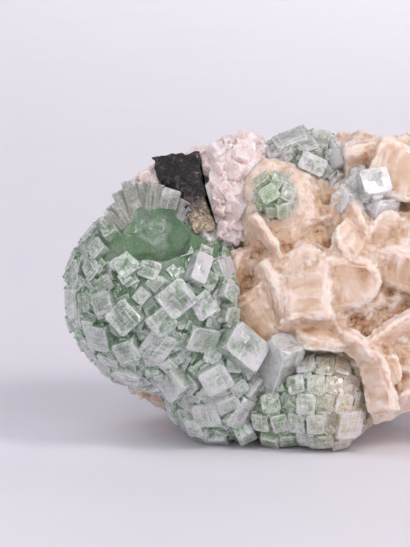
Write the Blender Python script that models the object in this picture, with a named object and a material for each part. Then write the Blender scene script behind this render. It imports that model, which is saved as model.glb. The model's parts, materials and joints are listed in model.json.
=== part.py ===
"""An apophyllite specimen: green apophyllite crystals on peach stilbite, with what is left of the basalt that
they grew on. Each mineral body is one solid. The display side faces -Y, and the specimen rests at Z = 0.

Tables are in millimetres and degrees. On the display side they say where a thing is seen from slightly above:
across is to the right of the specimen's middle, and up is above its foot."""

import math
import random
from collections import namedtuple

import bmesh
import bpy
from mathutils import Matrix, Vector, noise

MM = 0.001
GAP = 0.3  # left between two bodies that touch
FLAT = math.radians(0.2)  # faces that meet at less than this are one face
SPECK = 0.005  # shorter edges are closed up
DISPLAY_TILT = math.radians(10)  # how far above level the display side is seen from

RIGHT = Vector((1, 0, 0))
UP = Vector((0, math.sin(DISPLAY_TILT), math.cos(DISPLAY_TILT)))
AWAY = Vector((0, math.cos(DISPLAY_TILT), -math.sin(DISPLAY_TILT)))
ORIGIN = Vector((1.7, 0.3, 0))  # the middle of the specimen's box, on the surface it rests on

Crystal = namedtuple("Crystal", "frame width depth root tip corner")
Blade = namedtuple("Blade", "frame length width thickness")


class Blob:
    """An ellipsoid that crystals and blades stand on."""

    def __init__(self, centre, radii):
        self.centre = Vector(centre)
        self.radii = Vector(radii)

    def inside(self, point, margin=0.0):
        offset = point - self.centre
        return sum((o / (r + margin)) ** 2 for o, r in zip(offset, self.radii)) < 1

    def normal(self, point):
        offset = point - self.centre
        return Vector([o / r**2 for o, r in zip(offset, self.radii)]).normalized()

    def towards(self, direction):
        """The point of the surface that lies that way from the centre."""
        reach = math.sqrt(sum((d / r) ** 2 for d, r in zip(direction, self.radii)))
        return self.centre + direction / reach

    def distance_seen(self, across, up):
        """How far away the line of sight meets the surface, or None where it misses."""
        start = RIGHT * across + UP * up - self.centre
        near = Vector([s / r for s, r in zip(start, self.radii)])
        along = Vector([a / r for a, r in zip(AWAY, self.radii)])
        half_b = along.dot(near)
        root = half_b * half_b - along.dot(along) * (near.dot(near) - 1)
        return None if root < 0 else (-half_b - math.sqrt(root)) / along.dot(along)

    def rim(self, across, up):
        """The point of the outline nearest to a line of sight that misses."""
        start = RIGHT * across + UP * up
        nearest = start + AWAY * (self.centre - start).dot(AWAY)
        return self.towards((nearest - self.centre).normalized())


def jitter(rng, size):
    return Vector((rng.uniform(-1, 1), rng.uniform(-1, 1), rng.uniform(-1, 1))) * size


def surface_seen(blobs, across, up):
    """(point, normal) of the nearest surface that the display side shows there."""
    line = RIGHT * across + UP * up
    hits = [(blob.distance_seen(across, up), blob) for blob in blobs]
    hits = [(distance, blob) for distance, blob in hits if distance is not None]
    if hits:
        distance, blob = min(hits, key=lambda hit: hit[0])
        point = line + AWAY * distance
        return point, blob.normal(point)

    def miss(blob):
        offset = blob.rim(across, up) - line
        return (offset - AWAY * offset.dot(AWAY)).length

    blob = min(blobs, key=miss)
    point = blob.rim(across, up)
    return point, blob.normal(point)


def spread_directions(count):
    """Directions spread evenly over a sphere."""
    golden_turn = math.pi * (3 - math.sqrt(5))
    for k in range(count):
        z = 1 - 2 * (k + 0.5) / count
        level = math.sqrt(1 - z * z)
        yield Vector((level * math.cos(k * golden_turn), level * math.sin(k * golden_turn), z))


def stand(point, axis, spin):
    """The frame of a crystal or blade with its foot at point and its length along axis. Its width lies at spin
    degrees from level, as seen on the display side."""
    turn = math.radians(spin)
    across = RIGHT * math.cos(turn) + UP * math.sin(turn)
    if abs(across.dot(axis)) > 0.97:
        across = AWAY
    x = (across - axis * across.dot(axis)).normalized()
    frame = Matrix((x, axis.cross(x), axis)).transposed().to_4x4()
    frame.translation = point
    return frame


def seen_point(across, up, away):
    return RIGHT * across + UP * up + AWAY * away


# The bodies' rounded cores

BALL = [
    Blob((-37.5, -8, 44), (25.2, 25.5, 26.8)),
    Blob((-21, -13, 27), (14, 16, 17)),
    Blob((-19, -7, 15), (15, 16, 13.5)),
]
FAN = [Blob((10.5, -15, 14.5), (15, 14, 15)), Blob((0, -13, 12), (12, 12, 11))]
TOP = [Blob((6.5, -3, 81), (12.5, 9, 8.5))]
RIGHT_PAIR = [Blob((24, -13, 73.5), (7.5, 8, 8))]
BUD = [Blob((-3.2, -20.5, 75), (5.5, 4.5, 6))]
BACK = [Blob((45, 12, 56), (13, 13, 14))]
STILBITE = [
    Blob((17, 4, 46), (42, 26.5, 40)),
    Blob((-0.5, -10, 70), (14.5, 12, 15.5)),
    Blob((8, -13, 53), (12.5, 11, 13)),
    Blob((-8, -2, 42), (18, 17, 22)),
    Blob((30, -8, 27), (17, 18, 18)),
    Blob((32, -3, 78), (14, 12, 11)),
    Blob((-28, 11, 35), (27, 17, 30)),
    Blob((5, 2, 13), (28, 23.5, 15.5)),
    Blob((49, -10, 30), (13, 13, 14)),
    Blob((53, 4, 43), (13, 13, 15)),
    Blob((48, -7, 63), (15, 13, 13)),
    Blob((41, 12, 78), (15, 12, 10)),
    Blob((45, 13, 24), (14, 13, 13)),
    Blob((21, 15, 79), (15, 10, 9)),
]
CRUST = [
    Blob((-14, -4, 82), (9, 10, 7.5)),
    Blob((-11, -1, 84), (6.5, 8, 6)),
    Blob((-15.5, -8, 72.5), (7.5, 9.5, 9)),
    Blob((-16.5, -9, 64.5), (6, 8, 6.5)),
    Blob((-22, 3, 79), (8, 9, 7)),
    Blob((-26, 1, 66), (9, 9, 7)),
    Blob((-34, -2, 70), (8, 9, 6)),
    Blob((-38, -3, 74.5), (6, 8, 6)),
]

CORNERS_FROM = 6.4  # crystals wider than this have the corners of their tips cut off
CORNER_CUT = 0.15  # of their width
CORNER_DROP = 1.25  # how far down a cut corner reaches, for each mm across
CRYSTAL_TILT = 0.12  # how far the crystals between the placed ones lean, at most
CLEARANCE = 0.75  # of a placed crystal's width, left free of others

# Crystals of the display side: across, up, width, height, spin, how far they stand out

BALL_CRYSTALS = [
    (-45.0, 49.9, 6.6, 6.6, 35, 4.0),
    (-53.7, 54.7, 5.4, 6.0, 35, 2.5),
    (-55.8, 58.9, 6.6, 5.0, 40, 2.5),
    (-50.1, 59.5, 4.5, 5.4, 30, 3.0),
    (-49.5, 64.3, 4.8, 3.9, 20, 3.0),
    (-60.6, 51.4, 5.0, 6.0, 25, 2.5),
    (-55.2, 49.3, 5.5, 6.5, 30, 2.0),
    (-60.0, 46.0, 5.0, 5.0, 40, 2.0),
    (-51.3, 44.8, 5.7, 5.0, 25, 2.5),
    (-60.9, 39.4, 7.5, 9.0, 5, 2.0),
    (-51.3, 40.0, 6.6, 6.6, 15, 3.5),
    (-45.6, 36.4, 8.6, 8.4, 42, 4.5),
    (-53.1, 30.4, 8.0, 8.0, 12, 3.0),
    (-45.0, 27.4, 7.4, 6.8, 30, 4.0),
    (-36.0, 35.2, 7.4, 7.2, 40, 4.5),
    (-32.4, 41.2, 9.6, 9.0, 38, 5.0),
    (-26.7, 48.7, 5.0, 9.0, -18, 6.0),
    (-18.3, 49.9, 7.0, 7.0, 20, 2.0),
    (-19.2, 43.0, 5.4, 5.4, -20, 5.0),
    (-18.9, 37.0, 5.4, 5.0, -14, 5.0),
    (-25.5, 39.4, 7.0, 7.4, 28, 4.0),
    (-25.5, 30.4, 10.0, 7.5, -22, 4.0),
    (-14.1, 26.5, 13.0, 10.0, -30, 6.0),
    (-30.6, 17.8, 10.0, 9.4, 35, 5.0),
    (-20.4, 18.7, 8.5, 8.0, 30, 4.5),
    (-12.9, 3.6, 5.5, 6.0, 25, 5.0),
    (-22.5, 7.9, 8.0, 7.5, 15, 3.0),
    (-25.2, 5.2, 5.0, 6.5, 20, 4.0),
    (-10.5, 15.4, 7.0, 6.0, 35, 3.5),
    (-6.3, 23.8, 4.0, 7.0, -15, 3.5),
    (-38.4, 24.7, 5.4, 5.4, 20, 2.0),
    (-50.4, 24.1, 7.0, 3.4, 8, 2.5),
    (-45.3, 20.2, 8.0, 5.4, -18, 3.5),
    (-51.6, 19.9, 4.0, 5.0, 10, 2.0),
    (-40.8, 15.7, 10.0, 5.0, 10, 2.0),
    (-62.1, 33.7, 5.0, 5.0, 40, 2.5),
    (-59.1, 28.3, 5.4, 5.0, 35, 2.0),
    (-55.8, 25.3, 4.0, 4.0, 30, 1.5),
    (-37.8, 45.4, 4.5, 4.0, 50, 2.0),
    (-30.0, 54.7, 5.0, 4.5, 25, 2.0),
    (-33.3, 29.8, 5.0, 5.0, 25, 1.5),
    (-36.9, 18.7, 5.0, 6.0, 30, 2.0),
    (-17.4, 11.8, 7.0, 6.0, 25, 3.0),
]
TOP_CRYSTALS = [
    (-6.9, 88.9, 6.0, 5.4, -38, 3.0),
    (2.1, 85.9, 10.0, 8.0, 35, 3.0),
    (1.5, 89.5, 4.5, 4.0, 40, 2.5),
    (6.6, 84.7, 5.5, 5.5, 35, 2.5),
    (6.9, 91.3, 5.4, 5.0, 45, 2.5),
    (11.1, 88.3, 7.0, 6.5, 40, 3.0),
    (16.2, 85.3, 5.0, 6.0, -30, 2.0),
    (15.3, 81.4, 5.6, 5.4, 15, 5.0),
    (-1.2, 83.5, 7.0, 5.0, 10, 2.5),
    (7.8, 79.9, 8.0, 5.4, -25, 3.0),
    (15.0, 75.4, 7.0, 7.0, -35, 2.5),
]
RIGHT_PAIR_CRYSTALS = [
    (18.6, 70.0, 6.6, 6.0, 35, 4.0),
    (25.2, 73.3, 8.5, 8.0, 15, 5.0),
    (28.5, 67.3, 9.0, 6.5, -10, 2.0),
    (21.0, 79.3, 5.0, 5.0, 30, 2.0),
]
BUD_CRYSTALS = [
    (-6.3, 74.5, 5.0, 4.4, 15, 2.0),
    (-1.8, 74.8, 5.4, 4.0, -10, 2.0),
    (-4.5, 71.2, 5.4, 4.8, 30, 2.5),
    (0.0, 71.2, 5.0, 4.6, -20, 1.5),
    (-0.9, 67.0, 4.6, 5.0, 10, 1.5),
]

# The ball's broken top, where its crystals show their sides: angle about the heart, reach, width
BALL_HEART = (-39.3, 51.7, -25)
BROKEN_CRYSTALS = [
    (60, 20.5, 5.5),
    (73, 22.0, 5.5),
    (86, 22.5, 5.5),
    (97, 23.5, 4.8),
    (106, 24.5, 4.0),
    (115, 22.5, 4.0),
    (124, 20.0, 4.5),
    (135, 19.0, 5.0),
]
BROKEN_DEPTHS = (10.0, 12.4, 11.2)
BROKEN_ACROSS, BROKEN_UP, BROKEN_FRONT = (-54, -26), (51, 78), 2  # where the ball's surface is gone
HOLLOW_AT = (-37.5, 58.5)  # the smooth break below them
HOLLOW_RADII = (12.5, 11, 9.5)
HOLLOW_STANDS_OUT = 4.5

# The clear crystal between the ball and the fan: across, up and away of its foot and tip
CLEAR_FOOT, CLEAR_TIP = (-3, 17, -23), (0.6, 28.5, -33)
CLEAR_SIZE, CLEAR_TURN, CLEAR_CORNER = 8.6, 38, 1.9

# The fan's crystals stand in rows, like bricks on a dome
FAN_ROWS = FAN_COLUMNS = 7
FAN_PITCH = (5.1, 5.2)
FAN_MIDDLE, FAN_REACH = (9, 11), (18, 17.5)
FAN_BIG = (18.0, 5.0)

# Stilbite blades of the display side: across, up, length, width, thickness, where the length points, how far
# it rises towards the viewer, roll about it (0 shows the flat face), how far the blade stands out
STILBITE_BLADES = [
    (6.0, 46, 24, 15, 5.0, 95, -5, -14, 1.0),
    (17.0, 46.5, 22, 17, 4.0, 8, 5, 12, 2.5),
    (-5.4, 59.2, 16, 8, 2.4, -52, 5, 66, 3.0),
    (-3.9, 43.3, 19, 9, 2.6, -66, 5, 58, 3.0),
    (-8.4, 34.9, 19, 14, 4.0, -60, 0, 20, 2.0),
    (8.0, 34.0, 20, 8, 3.0, 4, 0, 55, 3.0),
    (10.0, 38.5, 18, 8, 2.6, 12, 0, 48, 2.5),
    (26.5, 17.5, 21, 11, 4.0, 104, 0, -40, 4.0),
    (21.0, 26.0, 18, 9, 3.6, 140, 0, -50, 4.0),
    (12.0, 29.0, 20, 8, 3.4, 178, 5, 45, 4.0),
    (26.0, 82.5, 20, 13, 5.0, 10, -10, 40, 0.5),
    (33.6, 78.0, 18, 16, 5.0, -22, 0, 0, 2.0),
    (28.0, 60.0, 18, 12, 4.0, 58, 10, 35, 2.5),
    (33.6, 50.0, 20, 14, 4.0, 160, 0, -22, 2.5),
    (33.6, 33.0, 18, 12, 4.0, 38, 5, 50, 2.5),
    (30.6, 21.0, 10, 6, 3.0, 95, 10, 10, 3.0),
    (33.0, 11.0, 20, 12, 4.0, 25, 0, 62, 2.0),
    (18.6, 65.5, 17, 10, 4.0, 112, 0, -34, 3.0),
    (20.5, 56.5, 17, 12, 4.0, 132, 5, 24, 3.0),
    (-13.5, 48.5, 16, 9, 3.5, 70, 5, 40, 0.5),
    (40.0, 62.0, 18, 13, 4.0, 20, 5, -35, 2.5),
    (42.0, 42.0, 18, 12, 4.0, -40, 5, 40, 2.5),
    (44.0, 24.0, 16, 12, 4.0, -60, 5, 20, 2.5),
    (47.0, 72.0, 16, 12, 4.0, 60, 5, 20, 2.0),
]
TABLE_REACHES = 46  # how far across the blades above go. Beyond, and at the back, the blades stand in sheaves
SHEAVED = (STILBITE[0], STILBITE[6], *STILBITE[8:])
SHEAF_AREA = 860  # of surface for each sheaf
SHEAF_HEIGHTS, SHEAF_FURTHEST_BACK, SHEAF_CLEARANCE = (14, 84), 24, 5
SHEAF_LENGTHS, SHEAF_WIDTHS, SHEAF_THICKNESSES = (20, 26), (13, 19), (3.0, 4.4)
SHEAF_OPENING = 26
SHEAF_STANDS_OUT = 4.5
BLADE_TIP = 0.18  # from here on, in lengths from the middle, a blade gets narrower
BLADE_BACK = 0.93  # the back face against the front one

# The basalt: broken lumps (centre, radii) at the back, and a thin wedge that reaches the display side
BASALT_LUMPS = [
    ((-18, 25.5, 36), (24, 11, 40)),
    ((14, 27, 32), (26, 11, 36)),
    ((-24, 17, 68), (14, 12, 14)),
    ((4, 24, 64), (22, 11, 15)),
    ((-4, 32, 20), (17, 8, 20)),
    ((22, 32, 46), (14, 7, 15)),
]
LUMP_CORNERS = 18
BASALT_WAVES, BASALT_WAVE_HEIGHT = 0.11, 2.4
BASALT_WEDGE = [
    (-39.5, -6, 83.5),
    (-26.5, -8, 86.5),
    (-24, -13, 79),
    (-22.5, -17, 73),
    (-20.5, -21.5, 66),
    (-25.5, -21.5, 64),
    (-31.5, -16, 75.5),
    (-36.5, -11, 81),
    (-35, 18, 70),
    (-22, 18, 72),
    (-23, -9, 63),
]


def lone_island(bm):
    """Keeps the largest connected body and drops the splinters that a cut leaves."""
    left, islands = set(bm.verts), []
    while left:
        island, edge = set(), [left.pop()]
        while edge:
            vert = edge.pop()
            island.add(vert)
            near = {e.other_vert(vert) for e in vert.link_edges} & left
            left -= near
            edge.extend(near)
        islands.append(island)
    islands.sort(key=len)
    for island in islands[:-1]:
        bmesh.ops.delete(bm, geom=list(island), context="VERTS")


def make_object(name, bm):
    """An object from a mesh in millimetres."""
    bm.normal_update()
    mesh = bpy.data.meshes.new(name)
    bm.to_mesh(mesh)
    bm.free()
    obj = bpy.data.objects.new(name, mesh)
    bpy.context.scene.collection.objects.link(obj)
    return obj


def apply_boolean(obj, other, operation, own=False):
    """Applies one Boolean. own also joins what overlaps within the object itself."""
    modifier = obj.modifiers.new("shape", "BOOLEAN")
    modifier.operation = operation
    modifier.solver = "EXACT"
    modifier.use_self = own
    modifier.object = other
    evaluated = obj.evaluated_get(bpy.context.evaluated_depsgraph_get())
    mesh = bpy.data.meshes.new_from_object(evaluated)
    obj.modifiers.remove(modifier)
    bm = bmesh.new()
    bm.from_mesh(mesh)
    lone_island(bm)
    bm.to_mesh(obj.data)
    bm.free()
    bpy.data.meshes.remove(mesh)


def slab(name, centre, size):
    bm = bmesh.new()
    bmesh.ops.create_cube(bm, size=1, matrix=Matrix.Translation(centre) @ Matrix.Diagonal((*size, 1)))
    return make_object(name, bm)


def fuse(obj, core):
    """Joins everything in obj into one skin. core is a point well inside it, where a grain can be added."""
    grain = slab("grain", core, (0.5, 0.5, 0.5))
    apply_boolean(obj, grain, "UNION", own=True)
    bpy.data.objects.remove(grain)


def cut(obj, cutter):
    apply_boolean(obj, cutter, "DIFFERENCE")


def trim_foot(obj):
    """Cuts off what reaches below the surface that the specimen rests on."""
    floor = slab("floor", (0, 0, -20), (300, 300, 40))
    cut(obj, floor)
    bpy.data.objects.remove(floor)


def add_core(bm, blob, fineness, roughness, grow):
    """An ellipsoid with a lumpy skin."""
    shape = Matrix.Translation(blob.centre) @ Matrix.Diagonal((*(blob.radii + Vector((grow,) * 3)), 1))
    made = bmesh.ops.create_icosphere(bm, subdivisions=fineness, radius=1, matrix=shape)
    for vert in made["verts"]:
        vert.co += blob.normal(vert.co) * roughness * noise.noise(vert.co * 0.09)


def add_crystal(bm, crystal, grow):
    """A square prism with a flat tip. Where corner is set, the tip's corners are cut off by small faces."""
    half_x, half_y = crystal.width / 2 + grow, crystal.depth / 2 + grow
    low, high, cut = -crystal.root - grow, crystal.tip + grow, crystal.corner
    outline = [(-half_x, -half_y), (half_x, -half_y), (half_x, half_y), (-half_x, half_y)]
    points = [(x, y, low) for x, y in outline]
    for x, y in outline:
        inward = Vector((-math.copysign(cut, x), -math.copysign(cut, y)))
        if cut:
            points += [(x + inward.x, y, high), (x, y + inward.y, high), (x, y, high - CORNER_DROP * cut)]
        else:
            points.append((x, y, high))
    verts = [bm.verts.new(crystal.frame @ Vector(p)) for p in points]
    bmesh.ops.convex_hull(bm, input=verts)


def add_blade(bm, blade, grow):
    """A thin tabular crystal with a blunt end."""
    length, half, thick = blade.length + grow, blade.width / 2 + grow, blade.thickness / 2 + grow
    outline = [(-half, -length / 2), (half, -length / 2), (half, length * BLADE_TIP)]
    outline += [(half * 0.5, length / 2), (-half * 0.4, length / 2), (-half, length * BLADE_TIP)]
    front = [Vector((x, thick, z)) for x, z in outline]
    back = [Vector((x * BLADE_BACK, -thick, z * BLADE_BACK)) for x, z in outline]
    bmesh.ops.convex_hull(bm, input=[bm.verts.new(blade.frame @ corner) for corner in front + back])


def crystal_at(point, normal, size, spin, lift, root=6.0, corner=0.0):
    return Crystal(stand(point, normal, spin), size[0], size[1], root, lift, corner)


def placed_crystals(table, blobs, root=6.0):
    """The crystals of one table, each standing on the body's surface."""
    made = []
    for across, up, width, height, spin, lift in table:
        point, normal = surface_seen(blobs, across, up)
        size = min(width, height)
        corner = CORNER_CUT * size if size > CORNERS_FROM else 0
        made.append(crystal_at(point, normal, (width, height), spin, lift, root, corner))
    return made


def in_broken_top(point):
    """Whether a point of the ball's surface lies where its top broke away."""
    across, up = point.dot(RIGHT), point.dot(UP)
    within = BROKEN_ACROSS[0] < across < BROKEN_ACROSS[1] and BROKEN_UP[0] < up < BROKEN_UP[1]
    return within and point.y < BROKEN_FRONT


def filling_crystals(blobs, others, placed, spacing, sizes, rng, root=5.0):
    """Smaller crystals over the rest of a body, clear of the placed ones and of what it grows against."""
    made = []
    for blob in blobs:
        area = 4 * math.pi * (sum(blob.radii) / 3) ** 2
        for direction in spread_directions(round(area / spacing**2)):
            point = blob.towards(direction)
            size = rng.uniform(*sizes)
            lift, spin = rng.uniform(0.6, 2.6), rng.uniform(0, 90)
            tilt = jitter(rng, CRYSTAL_TILT)
            hidden = any(o.inside(point, -1) for o in others)
            hidden = hidden or any(b is not blob and b.inside(point, -1) for b in blobs)
            near = any((point - c.frame.translation).length < CLEARANCE * c.width for c in placed)
            if hidden or near or point.z < 2 or in_broken_top(point):
                continue
            axis = (blob.normal(point) + tilt).normalized()
            made.append(crystal_at(point, axis, (size, size * rng.uniform(0.8, 1.1)), spin, lift, root))
    return made


def broken_crystals():
    """The crystals that show their sides in the ball's broken top. They spread from its heart."""
    made = []
    heart = seen_point(*BALL_HEART)
    for k, (angle, reach, width) in enumerate(BROKEN_CRYSTALS):
        turn = math.radians(angle)
        axis = RIGHT * math.cos(turn) + UP * math.sin(turn)
        depth = BROKEN_DEPTHS[k % len(BROKEN_DEPTHS)]
        made.append(Crystal(stand(heart, axis, angle - 90), width, depth, 0, reach, 0))
    return made


def ball_crystals():
    rng = random.Random(11)
    placed = placed_crystals(BALL_CRYSTALS, BALL)
    others = STILBITE + CRUST
    filling = filling_crystals(BALL, others, placed, 12.6, (7.0, 10.0), rng)
    return placed + filling + broken_crystals()


def fan_crystals():
    """The rows, one big crystal near their lower right end, and the clear one at their upper left."""
    rng = random.Random(5)
    made = []
    for row in range(FAN_ROWS):
        up = FAN_PITCH[1] * row
        for column in range(FAN_COLUMNS):
            across = FAN_MIDDLE[0] - FAN_REACH[0] + FAN_PITCH[0] * (column + (row % 2) / 2)
            from_middle = ((across - FAN_MIDDLE[0]) / FAN_REACH[0], (up - FAN_MIDDLE[1]) / FAN_REACH[1])
            if math.hypot(*from_middle) > 1:
                continue
            point, normal = surface_seen(FAN, across, up)
            size = (rng.uniform(4.9, 6.0), rng.uniform(5.2, 6.4))
            spin = FAN_MIDDLE[0] - across + rng.uniform(-7, 7)
            made.append(crystal_at(point, normal, size, spin, rng.uniform(0.5, 2.2), 4))
    point, normal = surface_seen(FAN, *FAN_BIG)
    made.append(crystal_at(point, normal, (8, 9), -8, 2.6, 6, 1.2))
    foot, tip = seen_point(*CLEAR_FOOT), seen_point(*CLEAR_TIP)
    frame = stand(foot, (tip - foot).normalized(), 0) @ Matrix.Rotation(math.radians(CLEAR_TURN), 4, "Z")
    made.append(Crystal(frame, CLEAR_SIZE, CLEAR_SIZE, 6, (tip - foot).length, CLEAR_CORNER))
    return made


def back_crystals():
    rng = random.Random(8)
    return filling_crystals(BACK, STILBITE, [], 9.2, (7.0, 10.0), rng)


def blade_at(point, aim, rise, roll, lift, size):
    """A blade whose length points aim degrees round the display side and rises towards the viewer."""
    turn, nod, lean = math.radians(aim), math.radians(rise), math.radians(roll)
    in_view = RIGHT * math.cos(turn) + UP * math.sin(turn)
    axis = (in_view * math.cos(nod) - AWAY * math.sin(nod)).normalized()
    side = in_view.cross(AWAY).normalized()
    face = axis.cross(side).normalized()
    if face.dot(AWAY) > 0:
        face = -face
    face = Matrix.Rotation(lean, 3, axis) @ face
    frame = Matrix((face.cross(axis), face, axis)).transposed().to_4x4()
    frame.translation = point - AWAY * lift
    return Blade(frame, *size)


def sheaf(point, normal, rng):
    """Two blades that spread from one foot."""
    side = Matrix.Rotation(rng.uniform(0, math.pi), 3, normal) @ normal.orthogonal().normalized()
    hinge = normal.cross(side)
    length, width = rng.uniform(*SHEAF_LENGTHS), rng.uniform(*SHEAF_WIDTHS)
    blades = []
    for half_turn in (-0.5, 0.5):
        spread = math.radians(SHEAF_OPENING * half_turn + rng.uniform(-5, 5))
        axis = (Matrix.Rotation(spread, 3, hinge) @ normal).normalized()
        face = hinge.cross(axis).normalized()
        frame = Matrix((face.cross(axis), face, axis)).transposed().to_4x4()
        frame.translation = point - normal * (length / 2 - SHEAF_STANDS_OUT) + hinge * rng.uniform(-1, 1)
        blades.append(Blade(frame, length, width * rng.uniform(0.85, 1), rng.uniform(*SHEAF_THICKNESSES)))
    return blades


def stilbite_blades():
    rng = random.Random(3)
    blades = []
    for across, up, length, width, thickness, aim, rise, roll, lift in STILBITE_BLADES:
        point, _ = surface_seen(STILBITE, across, up)
        blades.append(blade_at(point, aim, rise, roll, lift, (length, width, thickness)))
    taken = BALL + FAN + TOP + RIGHT_PAIR + BUD + BACK + CRUST
    for blob in SHEAVED:
        area = 4 * math.pi * (sum(blob.radii) / 3) ** 2
        for direction in spread_directions(round(area / SHEAF_AREA)):
            point = blob.towards(direction)
            in_table = direction.y < 0 and point.x < TABLE_REACHES
            covered = any(b.inside(point, SHEAF_CLEARANCE) for b in taken)
            covered = covered or any(b is not blob and b.inside(point) for b in STILBITE)
            in_reach = SHEAF_HEIGHTS[0] < point.z < SHEAF_HEIGHTS[1] and point.y < SHEAF_FURTHEST_BACK
            if in_reach and not in_table and not covered:
                blades += sheaf(point, blob.normal(point), rng)
    return blades


def add_hull(bm, points):
    verts = [bm.verts.new(Vector(p)) for p in points]
    made = bmesh.ops.convex_hull(bm, input=verts)
    loose = [g for g in made["geom_interior"] if isinstance(g, bmesh.types.BMVert)]
    bmesh.ops.delete(bm, geom=loose, context="VERTS")


def broken_lump(centre, radii, rng):
    """Corners of one squarish lump of broken rock."""
    points = []
    for direction in spread_directions(LUMP_CORNERS):
        nudged = (direction + jitter(rng, 0.3)).normalized()
        square = [math.copysign(abs(n) ** 0.7, n) * r for n, r in zip(nudged, radii)]
        points.append(Vector(centre) + Vector(square))
    return points


def wobble(point):
    """A smooth random offset, up to about half a unit each way."""
    shifts = (Vector((0, 0, 0)), Vector((31, 7, 3)), Vector((5, 43, 17)))
    return Vector([noise.noise(point + shift) for shift in shifts])


def build_basalt(grow=0.0):
    """Broken rock: hulls joined, then roughened."""
    rng = random.Random(21)
    bm = bmesh.new()
    add_hull(bm, BASALT_WEDGE)
    for centre, radii in BASALT_LUMPS:
        add_hull(bm, broken_lump(centre, radii, rng))
    obj = make_object("basalt_matrix", bm)
    fuse(obj, (-16, 27, 40))
    bm = bmesh.new()
    bm.from_mesh(obj.data)
    bmesh.ops.triangulate(bm, faces=bm.faces)
    bm.normal_update()
    for vert in bm.verts:
        vert.co += wobble(vert.co * BASALT_WAVES) * BASALT_WAVE_HEIGHT + vert.normal * grow * 1.3
    bm.to_mesh(obj.data)
    bm.free()
    trim_foot(obj)
    return obj


def build_cores(name, blobs, fineness, roughness, grow=0.0):
    bm = bmesh.new()
    for blob in blobs:
        add_core(bm, blob, fineness, roughness, grow)
    return make_object(name, bm)


def build_cluster(name, blobs, crystals, grow=0.0, fineness=2):
    """A body of crystals grown together, as one skin."""
    bm = bmesh.new()
    for blob in blobs:
        add_core(bm, blob, fineness if blob is blobs[0] else 1, 0, grow)
    for crystal in crystals:
        add_crystal(bm, crystal, grow)
    obj = make_object(name, bm)
    fuse(obj, blobs[0].centre)
    return obj


def hollow():
    """The cutter for the smooth break in the ball's top."""
    point, normal = surface_seen(BALL, *HOLLOW_AT)
    blob = Blob(point + normal * HOLLOW_STANDS_OUT, HOLLOW_RADII)
    return build_cores("hollow", [blob], 3, 0)


def build_ball(grow=0.0):
    obj = build_cluster("apophyllite_ball", BALL, ball_crystals(), grow)
    if not grow:
        cutter = hollow()
        cut(obj, cutter)
        bpy.data.objects.remove(cutter)
    return obj


def build_stilbite():
    bm = bmesh.new()
    for blob in STILBITE:
        add_core(bm, blob, 2 if blob in STILBITE[:2] else 1, 2.0, 0)
    for blade in stilbite_blades():
        add_blade(bm, blade, 0)
    obj = make_object("stilbite", bm)
    fuse(obj, STILBITE[0].centre)
    return obj


def build_crust(grow=0.0):
    obj = build_cores("pale_crust", CRUST, 1, 1.8, grow)
    fuse(obj, CRUST[0].centre)
    return obj


CLUSTERS = {
    "apophyllite_ball": build_ball,
    "apophyllite_fan": lambda grow=0.0: build_cluster("apophyllite_fan", FAN, fan_crystals(), grow, 1),
    "apophyllite_top": lambda grow=0.0: build_cluster(
        "apophyllite_top", TOP, placed_crystals(TOP_CRYSTALS, TOP), grow
    ),
    "apophyllite_right": lambda grow=0.0: build_cluster(
        "apophyllite_right", RIGHT_PAIR, placed_crystals(RIGHT_PAIR_CRYSTALS, RIGHT_PAIR), grow
    ),
    "apophyllite_bud": lambda grow=0.0: build_cluster(
        "apophyllite_bud", BUD, placed_crystals(BUD_CRYSTALS, BUD, 4.0), grow, 1
    ),
    "apophyllite_back": lambda grow=0.0: build_cluster(
        "apophyllite_back", BACK, back_crystals(), grow
    ),
}


def settle(obj):
    """Joins the scraps of each flat face that the cuts left, then makes triangles of all faces."""
    bm = bmesh.new()
    bm.from_mesh(obj.data)
    bmesh.ops.dissolve_limit(bm, angle_limit=FLAT, verts=bm.verts, edges=bm.edges)
    bmesh.ops.triangulate(bm, faces=bm.faces)
    bmesh.ops.remove_doubles(bm, verts=bm.verts, dist=SPECK)
    bm.to_mesh(obj.data)
    bm.free()


def boxes_meet(a, b):
    corners_a = [[v.co[k] for v in a.data.vertices] for k in range(3)]
    corners_b = [[v.co[k] for v in b.data.vertices] for k in range(3)]
    return all(min(p) < max(q) and min(q) < max(p) for p, q in zip(corners_a, corners_b))


def paint(obj, name, colour, roughness, transmission=0.0):
    material = bpy.data.materials.new(name)
    material.use_nodes = True
    shader = material.node_tree.nodes["Principled BSDF"]
    shader.inputs["Base Color"].default_value = (*colour, 1)
    shader.inputs["Roughness"].default_value = roughness
    shader.inputs["Metallic"].default_value = 0.0
    shader.inputs["Transmission Weight"].default_value = transmission
    obj.data.materials.clear()
    obj.data.materials.append(material)


def main():
    for obj in list(bpy.data.objects):
        bpy.data.objects.remove(obj)

    builders = {"basalt_matrix": build_basalt, **CLUSTERS, "pale_crust": build_crust}
    solids, cutters = {}, {}
    for name, builder in builders.items():
        solid = builder()
        for other, cutter in cutters.items():
            if boxes_meet(solid, cutter):
                cut(solid, cutter)
        trim_foot(solid)
        solids[name] = solid
        cutters[name] = builder(grow=GAP)

    stilbite = build_stilbite()
    for cutter in cutters.values():
        cut(stilbite, cutter)
        bpy.data.objects.remove(cutter)
    trim_foot(stilbite)
    solids["stilbite"] = stilbite

    green = (0.42, 0.62, 0.44)
    for name, solid in solids.items():
        if name.startswith("apophyllite"):
            paint(solid, name, green, 0.2, 0.5)
    paint(solids["basalt_matrix"], "basalt", (0.06, 0.05, 0.05), 0.85)
    paint(solids["pale_crust"], "crust", (0.72, 0.62, 0.6), 0.6)
    paint(stilbite, "stilbite", (0.78, 0.55, 0.43), 0.5)

    for solid in solids.values():
        settle(solid)
        solid.data.transform(Matrix.Scale(MM, 4) @ Matrix.Translation(-ORIGIN))


main()
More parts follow.
